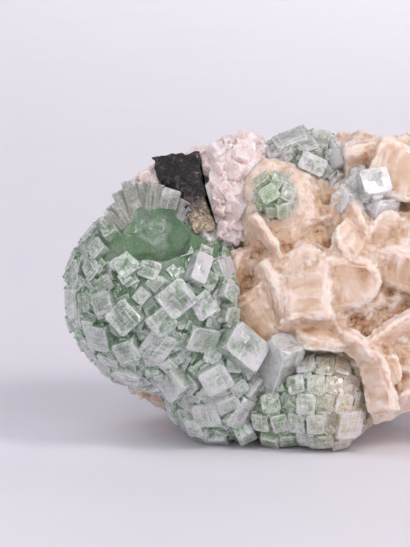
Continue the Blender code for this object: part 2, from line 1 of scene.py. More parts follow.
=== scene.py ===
"""The looks of an apophyllite specimen: green apophyllite crystals on peach stilbite, with a pale
crust and what is left of the basalt that they grew on.

The cores and crystals of the display side stand where the CAD model has them, so their tables are
the same. They are in millimetres and degrees: across is to the right of the specimen's middle, and
up is above its foot, as seen from slightly above."""

import json
import math
import random
from collections import namedtuple

import bmesh
import bpy
import numpy as np
from mathutils import Matrix, Vector, noise
from mathutils.bvhtree import BVHTree

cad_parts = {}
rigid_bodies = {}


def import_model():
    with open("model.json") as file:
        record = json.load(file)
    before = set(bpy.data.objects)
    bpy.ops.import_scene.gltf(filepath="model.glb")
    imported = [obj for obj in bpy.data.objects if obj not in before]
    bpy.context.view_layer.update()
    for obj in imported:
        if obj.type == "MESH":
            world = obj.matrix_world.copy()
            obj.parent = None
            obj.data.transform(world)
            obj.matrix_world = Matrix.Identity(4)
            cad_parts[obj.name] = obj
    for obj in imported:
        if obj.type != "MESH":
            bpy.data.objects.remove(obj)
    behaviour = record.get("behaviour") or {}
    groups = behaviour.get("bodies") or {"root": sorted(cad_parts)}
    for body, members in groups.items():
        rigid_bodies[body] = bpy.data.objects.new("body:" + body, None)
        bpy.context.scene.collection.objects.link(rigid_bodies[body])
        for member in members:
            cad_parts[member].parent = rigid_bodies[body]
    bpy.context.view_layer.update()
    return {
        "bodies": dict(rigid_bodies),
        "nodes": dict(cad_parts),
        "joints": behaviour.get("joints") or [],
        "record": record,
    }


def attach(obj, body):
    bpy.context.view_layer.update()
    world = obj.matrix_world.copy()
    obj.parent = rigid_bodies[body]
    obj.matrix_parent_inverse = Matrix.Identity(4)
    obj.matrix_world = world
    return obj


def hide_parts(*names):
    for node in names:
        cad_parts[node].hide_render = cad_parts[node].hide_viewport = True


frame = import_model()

MM = 0.001
GAP = 0.3  # left between two bodies that touch
DISPLAY_TILT = math.radians(10)  # how far above level the display side is seen from

RIGHT = Vector((1, 0, 0))
UP = Vector((0, math.sin(DISPLAY_TILT), math.cos(DISPLAY_TILT)))
AWAY = Vector((0, math.cos(DISPLAY_TILT), -math.sin(DISPLAY_TILT)))
ORIGIN = Vector((1.7, 0.3, 0))  # the middle of the specimen's box, on the surface it rests on

Crystal = namedtuple("Crystal", "frame width depth root tip")
Blade = namedtuple("Blade", "frame length width thickness")


class Blob:
    """An ellipsoid that crystals and blades stand on."""

    def __init__(self, centre, radii):
        self.centre = Vector(centre)
        self.radii = Vector(radii)

    def inside(self, point, margin=0.0):
        offset = point - self.centre
        return sum((o / (r + margin)) ** 2 for o, r in zip(offset, self.radii)) < 1

    def normal(self, point):
        offset = point - self.centre
        return Vector([o / r**2 for o, r in zip(offset, self.radii)]).normalized()

    def towards(self, direction):
        """The point of the surface that lies that way from the centre."""
        reach = math.sqrt(sum((d / r) ** 2 for d, r in zip(direction, self.radii)))
        return self.centre + direction / reach

    def distance_seen(self, across, up):
        """How far away the line of sight meets the surface, or None where it misses."""
        start = RIGHT * across + UP * up - self.centre
        near = Vector([s / r for s, r in zip(start, self.radii)])
        along = Vector([a / r for a, r in zip(AWAY, self.radii)])
        half_b = along.dot(near)
        root = half_b * half_b - along.dot(along) * (near.dot(near) - 1)
        return None if root < 0 else (-half_b - math.sqrt(root)) / along.dot(along)

    def rim(self, across, up):
        """The point of the outline nearest to a line of sight that misses."""
        start = RIGHT * across + UP * up
        nearest = start + AWAY * (self.centre - start).dot(AWAY)
        return self.towards((nearest - self.centre).normalized())


def jitter(rng, size):
    return Vector((rng.uniform(-1, 1), rng.uniform(-1, 1), rng.uniform(-1, 1))) * size


def surface_seen(blobs, across, up):
    """(point, normal) of the nearest surface that the display side shows there."""
    line = RIGHT * across + UP * up
    hits = [(blob.distance_seen(across, up), blob) for blob in blobs]
    hits = [(distance, blob) for distance, blob in hits if distance is not None]
    if hits:
        distance, blob = min(hits, key=lambda hit: hit[0])
        point = line + AWAY * distance
        return point, blob.normal(point)

    def miss(blob):
        offset = blob.rim(across, up) - line
        return (offset - AWAY * offset.dot(AWAY)).length

    blob = min(blobs, key=miss)
    point = blob.rim(across, up)
    return point, blob.normal(point)


def spread_directions(count):
    """Directions spread evenly over a sphere."""
    golden_turn = math.pi * (3 - math.sqrt(5))
    for k in range(count):
        z = 1 - 2 * (k + 0.5) / count
        level = math.sqrt(1 - z * z)
        yield Vector((level * math.cos(k * golden_turn), level * math.sin(k * golden_turn), z))


def stand(point, axis, spin):
    """The frame of a crystal or blade with its foot at point and its length along axis. Its width
    lies at spin degrees from level, as seen on the display side."""
    turn = math.radians(spin)
    across = RIGHT * math.cos(turn) + UP * math.sin(turn)
    if abs(across.dot(axis)) > 0.97:
        across = AWAY
    x = (across - axis * across.dot(axis)).normalized()
    frame = Matrix((x, axis.cross(x), axis)).transposed().to_4x4()
    frame.translation = point
    return frame


def seen_point(across, up, away):
    return RIGHT * across + UP * up + AWAY * away


# The bodies' rounded cores

BALL = [
    Blob((-37.5, -8, 44), (25.2, 25.5, 26.8)),
    Blob((-21, -13, 27), (14, 16, 17)),
    Blob((-19, -7, 15), (15, 16, 13.5)),
]
FAN = [Blob((10.5, -15, 14.5), (15, 14, 15)), Blob((0, -13, 12), (12, 12, 11))]
TOP = [Blob((6.5, -3, 81), (12.5, 9, 8.5))]
RIGHT_PAIR = [Blob((24, -13, 73.5), (7.5, 8, 8))]
BUD = [Blob((-3.2, -20.5, 75), (5.5, 4.5, 6))]
BACK = [Blob((45, 12, 56), (13, 13, 14))]
STILBITE = [
    Blob((17, 4, 46), (42, 26.5, 40)),
    Blob((-0.5, -10, 70), (14.5, 12, 15.5)),
    Blob((8, -13, 53), (12.5, 11, 13)),
    Blob((-8, -2, 42), (18, 17, 22)),
    Blob((30, -8, 27), (17, 18, 18)),
    Blob((32, -3, 78), (14, 12, 11)),
    Blob((-28, 11, 35), (27, 17, 30)),
    Blob((5, 2, 13), (28, 23.5, 15.5)),
    Blob((49, -10, 30), (13, 13, 14)),
    Blob((53, 4, 43), (13, 13, 15)),
    Blob((48, -7, 63), (15, 13, 13)),
    Blob((41, 12, 78), (15, 12, 10)),
    Blob((45, 13, 24), (14, 13, 13)),
    Blob((21, 15, 79), (15, 10, 9)),
]
CRUST = [
    Blob((-14, -4, 82), (9, 10, 7.5)),
    Blob((-11, -1, 84), (6.5, 8, 6)),
    Blob((-15.5, -8, 72.5), (7.5, 9.5, 9)),
    Blob((-16.5, -9, 64.5), (6, 8, 6.5)),
    Blob((-22, 3, 79), (8, 9, 7)),
    Blob((-26, 1, 66), (9, 9, 7)),
    Blob((-34, -2, 70), (8, 9, 6)),
    Blob((-38, -3, 74.5), (6, 8, 6)),
]

CRYSTAL_TILT = 0.12  # how far the crystals between the placed ones lean, at most
CLEARANCE = 0.75  # of a placed crystal's width, left free of others

# Crystals of the display side: across, up, width, height, spin, how far they stand out

BALL_CRYSTALS = [
    (-45.0, 49.9, 6.6, 6.6, 35, 4.0),
    (-53.7, 54.7, 5.4, 6.0, 35, 2.5),
    (-55.8, 58.9, 6.6, 5.0, 40, 2.5),
    (-50.1, 59.5, 4.5, 5.4, 30, 3.0),
    (-49.5, 64.3, 4.8, 3.9, 20, 3.0),
    (-60.6, 51.4, 5.0, 6.0, 25, 2.5),
    (-55.2, 49.3, 5.5, 6.5, 30, 2.0),
    (-60.0, 46.0, 5.0, 5.0, 40, 2.0),
    (-51.3, 44.8, 5.7, 5.0, 25, 2.5),
    (-60.9, 39.4, 7.5, 9.0, 5, 2.0),
    (-51.3, 40.0, 6.6, 6.6, 15, 3.5),
    (-45.6, 36.4, 8.6, 8.4, 42, 4.5),
    (-53.1, 30.4, 8.0, 8.0, 12, 3.0),
    (-45.0, 27.4, 7.4, 6.8, 30, 4.0),
    (-36.0, 35.2, 7.4, 7.2, 40, 4.5),
    (-32.4, 41.2, 9.6, 9.0, 38, 5.0),
    (-26.7, 48.7, 5.0, 9.0, -18, 6.0),
    (-18.3, 49.9, 7.0, 7.0, 20, 2.0),
    (-19.2, 43.0, 5.4, 5.4, -20, 5.0),
    (-18.9, 37.0, 5.4, 5.0, -14, 5.0),
    (-25.5, 39.4, 7.0, 7.4, 28, 4.0),
    (-25.5, 30.4, 10.0, 7.5, -22, 4.0),
    (-14.1, 26.5, 13.0, 10.0, -30, 6.0),
    (-30.6, 17.8, 10.0, 9.4, 35, 5.0),
    (-20.4, 18.7, 8.5, 8.0, 30, 4.5),
    (-12.9, 3.6, 5.5, 6.0, 25, 5.0),
    (-22.5, 7.9, 8.0, 7.5, 15, 3.0),
    (-25.2, 5.2, 5.0, 6.5, 20, 4.0),
    (-10.5, 15.4, 7.0, 6.0, 35, 3.5),
    (-6.3, 23.8, 4.0, 7.0, -15, 3.5),
    (-38.4, 24.7, 5.4, 5.4, 20, 2.0),
    (-50.4, 24.1, 7.0, 3.4, 8, 2.5),
    (-45.3, 20.2, 8.0, 5.4, -18, 3.5),
    (-51.6, 19.9, 4.0, 5.0, 10, 2.0),
    (-40.8, 15.7, 10.0, 5.0, 10, 2.0),
    (-62.1, 33.7, 5.0, 5.0, 40, 2.5),
    (-59.1, 28.3, 5.4, 5.0, 35, 2.0),
    (-55.8, 25.3, 4.0, 4.0, 30, 1.5),
    (-37.8, 45.4, 4.5, 4.0, 50, 2.0),
    (-30.0, 54.7, 5.0, 4.5, 25, 2.0),
    (-33.3, 29.8, 5.0, 5.0, 25, 1.5),
    (-36.9, 18.7, 5.0, 6.0, 30, 2.0),
    (-17.4, 11.8, 7.0, 6.0, 25, 3.0),
]
TOP_CRYSTALS = [
    (-6.9, 88.9, 6.0, 5.4, -38, 3.0),
    (2.1, 85.9, 10.0, 8.0, 35, 3.0),
    (1.5, 89.5, 4.5, 4.0, 40, 2.5),
    (6.6, 84.7, 5.5, 5.5, 35, 2.5),
    (6.9, 91.3, 5.4, 5.0, 45, 2.5),
    (11.1, 88.3, 7.0, 6.5, 40, 3.0),
    (16.2, 85.3, 5.0, 6.0, -30, 2.0),
    (15.3, 81.4, 5.6, 5.4, 15, 5.0),
    (-1.2, 83.5, 7.0, 5.0, 10, 2.5),
    (7.8, 79.9, 8.0, 5.4, -25, 3.0),
    (15.0, 75.4, 7.0, 7.0, -35, 2.5),
]
RIGHT_PAIR_CRYSTALS = [
    (18.6, 70.0, 6.6, 6.0, 35, 4.0),
    (25.2, 73.3, 8.5, 8.0, 15, 5.0),
    (28.5, 67.3, 9.0, 6.5, -10, 2.0),
    (21.0, 79.3, 5.0, 5.0, 30, 2.0),
]
BUD_CRYSTALS = [
    (-6.3, 74.5, 5.0, 4.4, 15, 2.0),
    (-1.8, 74.8, 5.4, 4.0, -10, 2.0),
    (-4.5, 71.2, 5.4, 4.8, 30, 2.5),
    (0.0, 71.2, 5.0, 4.6, -20, 1.5),
    (-0.9, 67.0, 4.6, 5.0, 10, 1.5),
]

# The ball's broken top, where its crystals show their sides: angle about the heart, reach, width
BALL_HEART = (-39.3, 51.7, -25)
BROKEN_CRYSTALS = [
    (60, 20.5, 5.5),
    (73, 22.0, 5.5),
    (86, 22.5, 5.5),
    (97, 23.5, 4.8),
    (106, 24.5, 4.0),
    (115, 22.5, 4.0),
    (124, 20.0, 4.5),
    (135, 19.0, 5.0),
]
BROKEN_DEPTHS = (10.0, 12.4, 11.2)
BROKEN_ACROSS, BROKEN_UP, BROKEN_FRONT = (-54, -26), (51, 78), 2  # where the ball's surface is gone
HOLLOW_AT = (-37.5, 58.5)  # the smooth break below them
HOLLOW_RADII = (12.5, 11, 9.5)
HOLLOW_STANDS_OUT = 4.5

# The clear crystal between the ball and the fan: across, up and away of its foot and tip
CLEAR_FOOT, CLEAR_TIP = (-3, 17, -23), (0.6, 28.5, -33)
CLEAR_SIZE, CLEAR_TURN, CLEAR_CORNER = 8.6, 38, 1.9

# The fan's crystals stand in rows, like bricks on a dome
FAN_ROWS = FAN_COLUMNS = 7
FAN_PITCH = (5.1, 5.2)
FAN_MIDDLE, FAN_REACH = (9, 11), (18, 17.5)
FAN_BIG = (18.0, 5.0)

# Stilbite blades of the display side: across, up, length, width, thickness, where the length points, how far
# it rises towards the viewer, roll about it (0 shows the flat face), how far the blade stands out
STILBITE_BLADES = [
    (6.0, 46, 24, 15, 5.0, 95, -5, -14, 1.0),
    (17.0, 46.5, 22, 17, 4.0, 8, 5, 12, 2.5),
    (-5.4, 59.2, 16, 8, 2.4, -52, 5, 66, 3.0),
    (-3.9, 43.3, 19, 9, 2.6, -66, 5, 58, 3.0),
    (-8.4, 34.9, 19, 14, 4.0, -60, 0, 20, 2.0),
    (8.0, 34.0, 20, 8, 3.0, 4, 0, 55, 3.0),
    (10.0, 38.5, 18, 8, 2.6, 12, 0, 48, 2.5),
    (26.5, 17.5, 21, 11, 4.0, 104, 0, -40, 4.0),
    (21.0, 26.0, 18, 9, 3.6, 140, 0, -50, 4.0),
    (12.0, 29.0, 20, 8, 3.4, 178, 5, 45, 4.0),
    (26.0, 82.5, 20, 13, 5.0, 10, -10, 40, 0.5),
    (33.6, 78.0, 18, 16, 5.0, -22, 0, 0, 2.0),
    (28.0, 60.0, 18, 12, 4.0, 58, 10, 35, 2.5),
    (33.6, 50.0, 20, 14, 4.0, 160, 0, -22, 2.5),
    (33.6, 33.0, 18, 12, 4.0, 38, 5, 50, 2.5),
    (30.6, 21.0, 10, 6, 3.0, 95, 10, 10, 3.0),
    (33.0, 11.0, 20, 12, 4.0, 25, 0, 62, 2.0),
    (18.6, 65.5, 17, 10, 4.0, 112, 0, -34, 3.0),
    (20.5, 56.5, 17, 12, 4.0, 132, 5, 24, 3.0),
    (-13.5, 48.5, 16, 9, 3.5, 70, 5, 40, 0.5),
    (40.0, 62.0, 18, 13, 4.0, 20, 5, -35, 2.5),
    (42.0, 42.0, 18, 12, 4.0, -40, 5, 40, 2.5),
    (44.0, 24.0, 16, 12, 4.0, -60, 5, 20, 2.5),
    (47.0, 72.0, 16, 12, 4.0, 60, 5, 20, 2.0),
]
TABLE_REACHES = 46  # how far across the blades above go. Beyond, and at the back, the blades stand in sheaves
SHEAVED = (STILBITE[0], STILBITE[6], *STILBITE[8:])
SHEAF_AREA = 860  # of surface for each sheaf
SHEAF_HEIGHTS, SHEAF_FURTHEST_BACK, SHEAF_CLEARANCE = (14, 84), 24, 5
SHEAF_LENGTHS, SHEAF_WIDTHS, SHEAF_THICKNESSES = (20, 26), (13, 19), (3.0, 4.4)
SHEAF_OPENING = 26
SHEAF_STANDS_OUT = 4.5

# The basalt: broken lumps (centre, radii) at the back, and a thin wedge that reaches the display side
BASALT_LUMPS = [
    ((-18, 25.5, 36), (24, 11, 40)),
    ((14, 27, 32), (26, 11, 36)),
    ((-24, 17, 68), (14, 12, 14)),
    ((4, 24, 64), (22, 11, 15)),
    ((-4, 32, 20), (17, 8, 20)),
    ((22, 32, 46), (14, 7, 15)),
]
LUMP_CORNERS = 18
BASALT_WAVES, BASALT_WAVE_HEIGHT = 0.11, 2.4
BASALT_WEDGE = [
    (-39.5, -6, 83.5),
    (-26.5, -8, 86.5),
    (-24, -13, 79),
    (-22.5, -17, 73),
    (-20.5, -21.5, 66),
    (-25.5, -21.5, 64),
    (-31.5, -16, 75.5),
    (-36.5, -11, 81),
    (-35, 18, 70),
    (-22, 18, 72),
    (-23, -9, 63),
]


def wobble(point):
    """A smooth random offset, up to about half a unit each way."""
    shifts = (Vector((0, 0, 0)), Vector((31, 7, 3)), Vector((5, 43, 17)))
    return Vector([noise.noise(point + shift) for shift in shifts])


# Joining, cutting and finishing meshes


def mesh_object(name, bm):
    mesh = bpy.data.meshes.new(name)
    bm.to_mesh(mesh)
    bm.free()
    return bpy.data.objects.new(name, mesh)


def discard(objects):
    for obj in objects:
        mesh = obj.data
        bpy.data.objects.remove(obj)
        bpy.data.meshes.remove(mesh)


def baked(obj):
    """The object's mesh with its modifiers applied."""
    scene = bpy.context.scene.collection
    scene.objects.link(obj)
    evaluated = obj.evaluated_get(bpy.context.evaluated_depsgraph_get())
    mesh = bpy.data.meshes.new_from_object(evaluated)
    scene.objects.unlink(obj)
    obj.modifiers.clear()
    old = obj.data
    obj.data = mesh
    bpy.data.meshes.remove(old)


def combine(obj, others, operation):
    """One Boolean with all the others at once, which are then removed."""
    group = bpy.data.collections.new("operands")
    for other in others:
        group.objects.link(other)
    modifier = obj.modifiers.new("shape", "BOOLEAN")
    modifier.operation = operation
    modifier.solver = "MANIFOLD"
    modifier.operand_type = "COLLECTION"
    modifier.collection = group
    baked(obj)
    discard(others)
    bpy.data.collections.remove(group)
    return obj


def largest_island(obj):
    """Drops the splinters that a cut leaves."""
    bm = bmesh.new()
    bm.from_mesh(obj.data)
    bm.verts.index_update()
    parent = list(range(len(bm.verts)))

    def find(k):
        while parent[k] != k:
            parent[k] = parent[parent[k]]
            k = parent[k]
        return k

    for edge in bm.edges:
        parent[find(edge.verts[0].index)] = find(edge.verts[1].index)
    roots = [find(k) for k in range(len(parent))]
    sizes = {}
    for root in roots:
        sizes[root] = sizes.get(root, 0) + 1
    biggest = max(sizes, key=sizes.get)
    spare = [v for v, root in zip(bm.verts, roots) if root != biggest]
    bmesh.ops.delete(bm, geom=spare, context="VERTS")
    bm.to_mesh(obj.data)
    bm.free()


def core_object(name, blob, fineness, roughness, grow=0.0, pitch=0.09):
    """An ellipsoid with a lumpy skin."""
    bm = bmesh.new()
    shape = Matrix.Translation(blob.centre) @ Matrix.Diagonal((*(blob.radii + Vector((grow,) * 3)), 1))
    bmesh.ops.create_icosphere(bm, subdivisions=fineness, radius=1, matrix=shape)
    for vert in bm.verts:
        vert.co += blob.normal(vert.co) * roughness * noise.noise(vert.co * pitch)
    for layer, value in (("inside", (0, 0, 0)), ("tone", (0.55, 0.9, 0.4)), ("kind", (0, 0.5, 9))):
        written = bm.loops.layers.float_vector.new(layer)
        for face in bm.faces:
            for loop in face.loops:
                loop[written] = value
    return mesh_object(name, bm)


def floor_cutter():
    bm = bmesh.new()
    under_floor = Matrix.Translation((0, 0, -20)) @ Matrix.Diagonal((300, 300, 40, 1))
    bmesh.ops.create_cube(bm, size=1, matrix=under_floor)
    return mesh_object("floor_cutter", bm)


def finish_piece(obj, node, material):
    obj.data.transform(Matrix.Scale(MM, 4) @ Matrix.Translation(-ORIGIN))
    obj.data.materials.clear()
    obj.data.materials.append(material)
    obj.data.polygons.foreach_set("material_index", [0] * len(obj.data.polygons))
    bpy.context.scene.collection.objects.link(obj)
    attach(obj, "root")
    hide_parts(node)


# Apophyllite


def label(bm, crystal, tip, middles, tone):
    """Writes on each corner where it is in its crystal, and what it lies on.

    inside: across and through, as parts of the half widths, and mm above the foot.
    kind: 1 at the edges and 0 within each face, 1 on the tip's face and 0 on the sides, and mm
    below the tip."""
    inside, tones, kind = (bm.loops.layers.float_vector.new(name) for name in ("inside", "tone", "kind"))
    back = crystal.frame.inverted()
    axis = crystal.frame.to_3x3().col[2]
    for face in bm.faces:
        lid = max(0.0, face.normal.dot(axis))
        for loop in face.loops:
            local = back @ loop.vert.co
            loop[inside] = (2 * local.x / crystal.width, 2 * local.y / crystal.depth, local.z)
            loop[tones] = tone
            loop[kind] = (0 if loop.vert in middles else 1, lid, tip - local.z)


CUT_DROP = 1.2  # how far down a cut corner reaches, for each mm across


def prism(crystal, low, high, half_x, half_y, offset, cut, bevel, tone, rim=0.0):
    """A square prism with bevelled edges, whose tip can have its corners cut off by small faces."""
    bm = bmesh.new()
    outline = [(-half_x, -half_y), (half_x, -half_y), (half_x, half_y), (-half_x, half_y)]
    points = []
    for x, y in outline:
        ox, oy = offset
        points.append((x + ox, y + oy, low))
        if cut:
            sx, sy = math.copysign(cut, x), math.copysign(cut, y)
            points += [(x - sx + ox, y + oy, high), (x + ox, y - sy + oy, high)]
            points.append((x + ox, y + oy, high - CUT_DROP * cut))
        else:
            points.append((x + ox, y + oy, high))
    verts = [bm.verts.new(crystal.frame @ Vector(p)) for p in points]
    bmesh.ops.convex_hull(bm, input=verts)
    bmesh.ops.dissolve_limit(bm, angle_limit=math.radians(1), verts=bm.verts, edges=bm.edges)
    middles = set()
    if bevel:
        made = bmesh.ops.bevel(bm, geom=bm.edges[:], offset=bevel, segments=1, affect="EDGES")
        if rim:
            slopes = set(made["faces"])
            flats = [face for face in bm.faces if face not in slopes]
            bmesh.ops.inset_individual(bm, faces=flats, thickness=rim, use_even_offset=True)
            middles = {vert for face in flats for vert in face.verts}
    bm.normal_update()
    label(bm, crystal, high, middles, tone)
    return mesh_object("prism", bm)


def grown(crystal, rng, tone, busy=1.0):
    """A crystal with the steps on its tip and the smaller ones that grew beside it the same way round."""
    half_x, half_y, tip = crystal.width / 2, crystal.depth / 2, crystal.tip
    size = min(half_x, half_y)
    cut = rng.uniform(0.16, 0.34) * size if size > 2.2 else 0
    bevel = min(0.22, size * 0.06)
    # rim: the band along the edges that gets the painted highlight
    rim = min(0.45, size * 0.14)
    made = [prism(crystal, -crystal.root, tip, half_x, half_y, (0, 0), cut, bevel, tone, rim)]
    for _ in range(int(rng.random() < 0.55 * busy) + int(rng.random() < 0.3 * busy)):
        share = rng.uniform(0.45, 0.8)
        offset = (rng.uniform(-1, 1) * half_x * (0.94 - share), rng.uniform(-1, 1) * half_y * (0.94 - share))
        rise = rng.uniform(0.15, 0.45)
        reach = (half_x * share, half_y * share)
        made.append(prism(crystal, tip - 2, tip + rise, *reach, offset, 0, bevel * 0.6, tone, rim * 0.6))
    if size > 2.4:
        for _ in range(int(rng.uniform(0.4, 3) * busy)):
            share = rng.uniform(0.3, 0.55)
            side = rng.choice([(1, 0), (-1, 0), (0, 1), (0, -1), (1, 1), (-1, 1), (1, -1), (-1, -1)])
            slide = rng.uniform(-0.5, 0.5)
            offset = (
                half_x * (side[0] * (1.06 - share * 0.6) + (slide if side[0] == 0 else 0)),
                half_y * (side[1] * (1.06 - share * 0.6) + (slide if side[1] == 0 else 0)),
            )
            low_tip = tip * rng.uniform(0.3, 0.92)
            reach = (half_x * share, half_y * share)
            low_bevel, low_rim = bevel * 0.7, rim * 0.7
            made.append(prism(crystal, -crystal.root, low_tip, *reach, offset, 0, low_bevel, tone, low_rim))
    return made


VEILS, VEIL_THICKNESS = 3, 0.05


def veils(crystal, rng):
    """Thin breaks across a crystal, inside it."""
    made = []
    half_x, half_y = crystal.width / 2, crystal.depth / 2
    depth = 0.0
    for _ in range(VEILS):
        depth += rng.uniform(0.5, 1.6)
        share = rng.uniform(0.3, 0.75)
        offset = (rng.uniform(-1, 1) * half_x * (0.9 - share), rng.uniform(-1, 1) * half_y * (0.9 - share))
        top = crystal.tip - depth
        tone = (rng.uniform(0.2, 0.9), 0.3, rng.random())
        reach = (half_x * share, half_y * share)
        made.append(prism(crystal, top - VEIL_THICKNESS, top, *reach, offset, 0, 0, tone))
    return made


def join(obj, others):
    """Adds other meshes to one, as they are."""
    bm = bmesh.new()
    bm.from_mesh(obj.data)
    for other in others:
        bm.from_mesh(other.data)
    bm.to_mesh(obj.data)
    bm.free()
    discard(others)


def placed_crystals(table, blobs, root=6.0):
    """The crystals of one table, each standing on the body's surface."""
    made = []
    for across, up, width, height, spin, lift in table:
        point, normal = surface_seen(blobs, across, up)
        made.append(Crystal(stand(point, normal, spin), width, height, root, lift))
    return made


def in_broken_top(point):
    """Whether a point of the ball's surface lies where its top broke away."""
    across, up = point.dot(RIGHT), point.dot(UP)
    within = BROKEN_ACROSS[0] < across < BROKEN_ACROSS[1] and BROKEN_UP[0] < up < BROKEN_UP[1]
    return within and point.y < BROKEN_FRONT


def filling_crystals(blobs, others, placed, spacing, sizes, lifts, rng, root=5.0):
    """Smaller crystals over the rest of a body, clear of the placed ones and of what it grows against."""
    made = []
    for blob in blobs:
        area = 4 * math.pi * (sum(blob.radii) / 3) ** 2
        for direction in spread_directions(round(area / spacing**2)):
            point = blob.towards(direction)
            size = rng.uniform(*sizes)
            lift, spin = rng.uniform(*lifts), rng.uniform(0, 90)
            tilt = jitter(rng, CRYSTAL_TILT)
            hidden = any(o.inside(point, -1) for o in others)
            hidden = hidden or any(b is not blob and b.inside(point, -1) for b in blobs)
            near = any((point - c.frame.translation).length < CLEARANCE * c.width for c in placed)
            if hidden or near or point.z < 2 or in_broken_top(point):
                continue
            axis = (blob.normal(point) + tilt).normalized()
            made.append(Crystal(stand(point, axis, spin), size, size * rng.uniform(0.8, 1.1), root, lift))
    return made


def broken_crystals():
    """The crystals that show their sides in the ball's broken top. They spread from its heart."""
    made = []
    heart = seen_point(*BALL_HEART)
    for k, (angle, reach, width) in enumerate(BROKEN_CRYSTALS):
        turn = math.radians(angle)
        axis = RIGHT * math.cos(turn) + UP * math.sin(turn)
        depth = BROKEN_DEPTHS[k % len(BROKEN_DEPTHS)]
        made.append(Crystal(stand(heart, axis, angle - 90), width, depth, 0, reach))
    return made


SPLINTERS, SPLINTERS_FROM, SPLINTER_STEP = 26, 52, 3.5  # how many, and their angles about the heart


def splinters(rng):
    """Thinner crystals that fill the gaps between the broken ones."""
    made = []
    heart = seen_point(*BALL_HEART)
    for k in range(SPLINTERS):
        angle = SPLINTERS_FROM + SPLINTER_STEP * k + rng.uniform(-1.2, 1.2)
        near = min(BROKEN_CRYSTALS, key=lambda row: abs(row[0] - angle))
        axis = RIGHT * math.cos(math.radians(angle)) + UP * math.sin(math.radians(angle))
        depth = rng.uniform(8.5, 12)
        width, reach = rng.uniform(1.4, 2.6), near[1] - rng.uniform(0.2, 2.2)
        made.append(Crystal(stand(heart, axis, angle - 90), width, depth, 0, reach))
    return made


HIGHLIT_CRYSTALS = [(15.3, 81.4), (25.2, 76.3), (-26.7, 48.7), (-18.3, 49.9)]  # crystals painted white all over as a painted highlight
HIGHLIGHT_REACH, HIGHLIGHT_FROST = 1.5, 2.4


def tone_of(crystal, rng, frost, green, spread=0.3):
    """(frost, green, any) of one crystal, mostly from 0 to 1."""
    foot = crystal.frame.translation
    tone = (frost + rng.uniform(-spread, spread), green + rng.uniform(-spread, spread), rng.random())
    seen = Vector((foot.dot(RIGHT), foot.dot(UP)))
    # Crystals near these places get the painted highlight: their frost is set far above the rest, so they are
    # painted white.
    if any((seen - Vector(place)).length < HIGHLIGHT_REACH for place in HIGHLIT_CRYSTALS):
        tone = (HIGHLIGHT_FROST, 0.0, tone[2])
    return tone


def dressed(name, blobs, groups, fineness=4, grow=0.0):
    """One skin over a body's cores and crystals. groups holds (crystals, frost, green, busy)."""
    rng = random.Random(name)
    cores = [core_object("core", blob, fineness, 1.0, grow, 0.35) for blob in blobs]
    parts = cores[1:]
    for crystals, frost, green, busy in groups:
        for crystal in crystals:
            parts += grown(crystal, rng, tone_of(crystal, rng, frost, green), busy)
    obj = combine(cores[0], parts, "UNION")
    obj.name = name
    return obj


# Crystals between the placed ones: spacing, sizes, how far they stand out
BALL_FILLING = 12.6, (7.0, 10.0), (0.6, 2.6)
BALL_SMALL = 5.8, (3.8, 6.6), (0.8, 2.2)
BALL_TINY = 4.6, (1.8, 3.4), (0.9, 1.8)
FAN_SMALL = 4.2, (1.8, 3.4), (0.3, 1.7)
CLUSTER_SMALL = 4.4, (2.4, 4.4), (0.3, 1.8)
BACK_LARGE = 9.2, (7.0, 10.0), (0.6, 2.6)
BACK_SMALL = 4.4, (2.4, 4.6), (0.3, 1.8)
VEILED_ABOVE = 8  # crystals that stand lower have no veils
VEIL_CLEARANCE = 4  # from the hollow


def ball_piece():
    rng = random.Random(11)
    placed = placed_crystals(BALL_CRYSTALS, BALL)
    others = STILBITE + CRUST
    filling = filling_crystals(BALL, others, placed, *BALL_FILLING, rng)
    small = filling_crystals(BALL, others, [], *BALL_SMALL, rng)
    tiny = filling_crystals(BALL, others, [], *BALL_TINY, rng)
    groups = [
        (placed, 0.6, 0.5, 1.0),
        (filling, 0.5, 0.5, 1.0),
        (small, 0.4, 0.62, 0.6),
        (tiny, 0.35, 0.7, 0.0),
        (broken_crystals() + splinters(rng), -0.7, -0.5, 0.1),
    ]
    obj = dressed("ball_of_crystals", BALL, groups, grow=0.7)
    point, normal = surface_seen(BALL, *HOLLOW_AT)
    hollow = Blob(point + normal * HOLLOW_STANDS_OUT, HOLLOW_RADII)
    scoop = core_object("scoop", hollow, 5, 1.2, pitch=0.2)
    combine(obj, [scoop, floor_cutter(), rock(GAP)], "DIFFERENCE")
    largest_island(obj)
    made = []
    for crystal in placed + filling:
        foot = crystal.frame.translation
        clear = (foot - hollow.centre).length > HOLLOW_RADII[0] + VEIL_CLEARANCE
        if foot.z > VEILED_ABOVE and clear:
            made += veils(crystal, rng)
    join(obj, made)
    return obj


def fan_rows(rng):
    made = []
    for row in range(FAN_ROWS):
        up = FAN_PITCH[1] * row
        for column in range(FAN_COLUMNS):
            across = FAN_MIDDLE[0] - FAN_REACH[0] + FAN_PITCH[0] * (column + (row % 2) / 2)
            from_middle = ((across - FAN_MIDDLE[0]) / FAN_REACH[0], (up - FAN_MIDDLE[1]) / FAN_REACH[1])
            if math.hypot(*from_middle) > 1:
                continue
            point, normal = surface_seen(FAN, across, up)
            size = (rng.uniform(4.9, 6.0), rng.uniform(5.2, 6.4))
            spin = FAN_MIDDLE[0] - across + rng.uniform(-7, 7)
            made.append(Crystal(stand(point, normal, spin), *size, 4, rng.uniform(0.5, 2.2)))
    return made


def fan_piece():
    rng = random.Random(5)
    rows = fan_rows(rng)
    point, normal = surface_seen(FAN, *FAN_BIG)
    big = Crystal(stand(point, normal, -8), 8, 9, 6, 2.6)
    small = filling_crystals(FAN, STILBITE + BALL, [], *FAN_SMALL, rng, 3)
    groups = [(rows, 0.35, 0.6, 0.8), ([big], 0.8, 0.2, 1.0), (small, 0.3, 0.7, 0.0)]
    return combine(dressed("fan_of_crystals", FAN, groups, grow=0.4), [floor_cutter()], "DIFFERENCE")


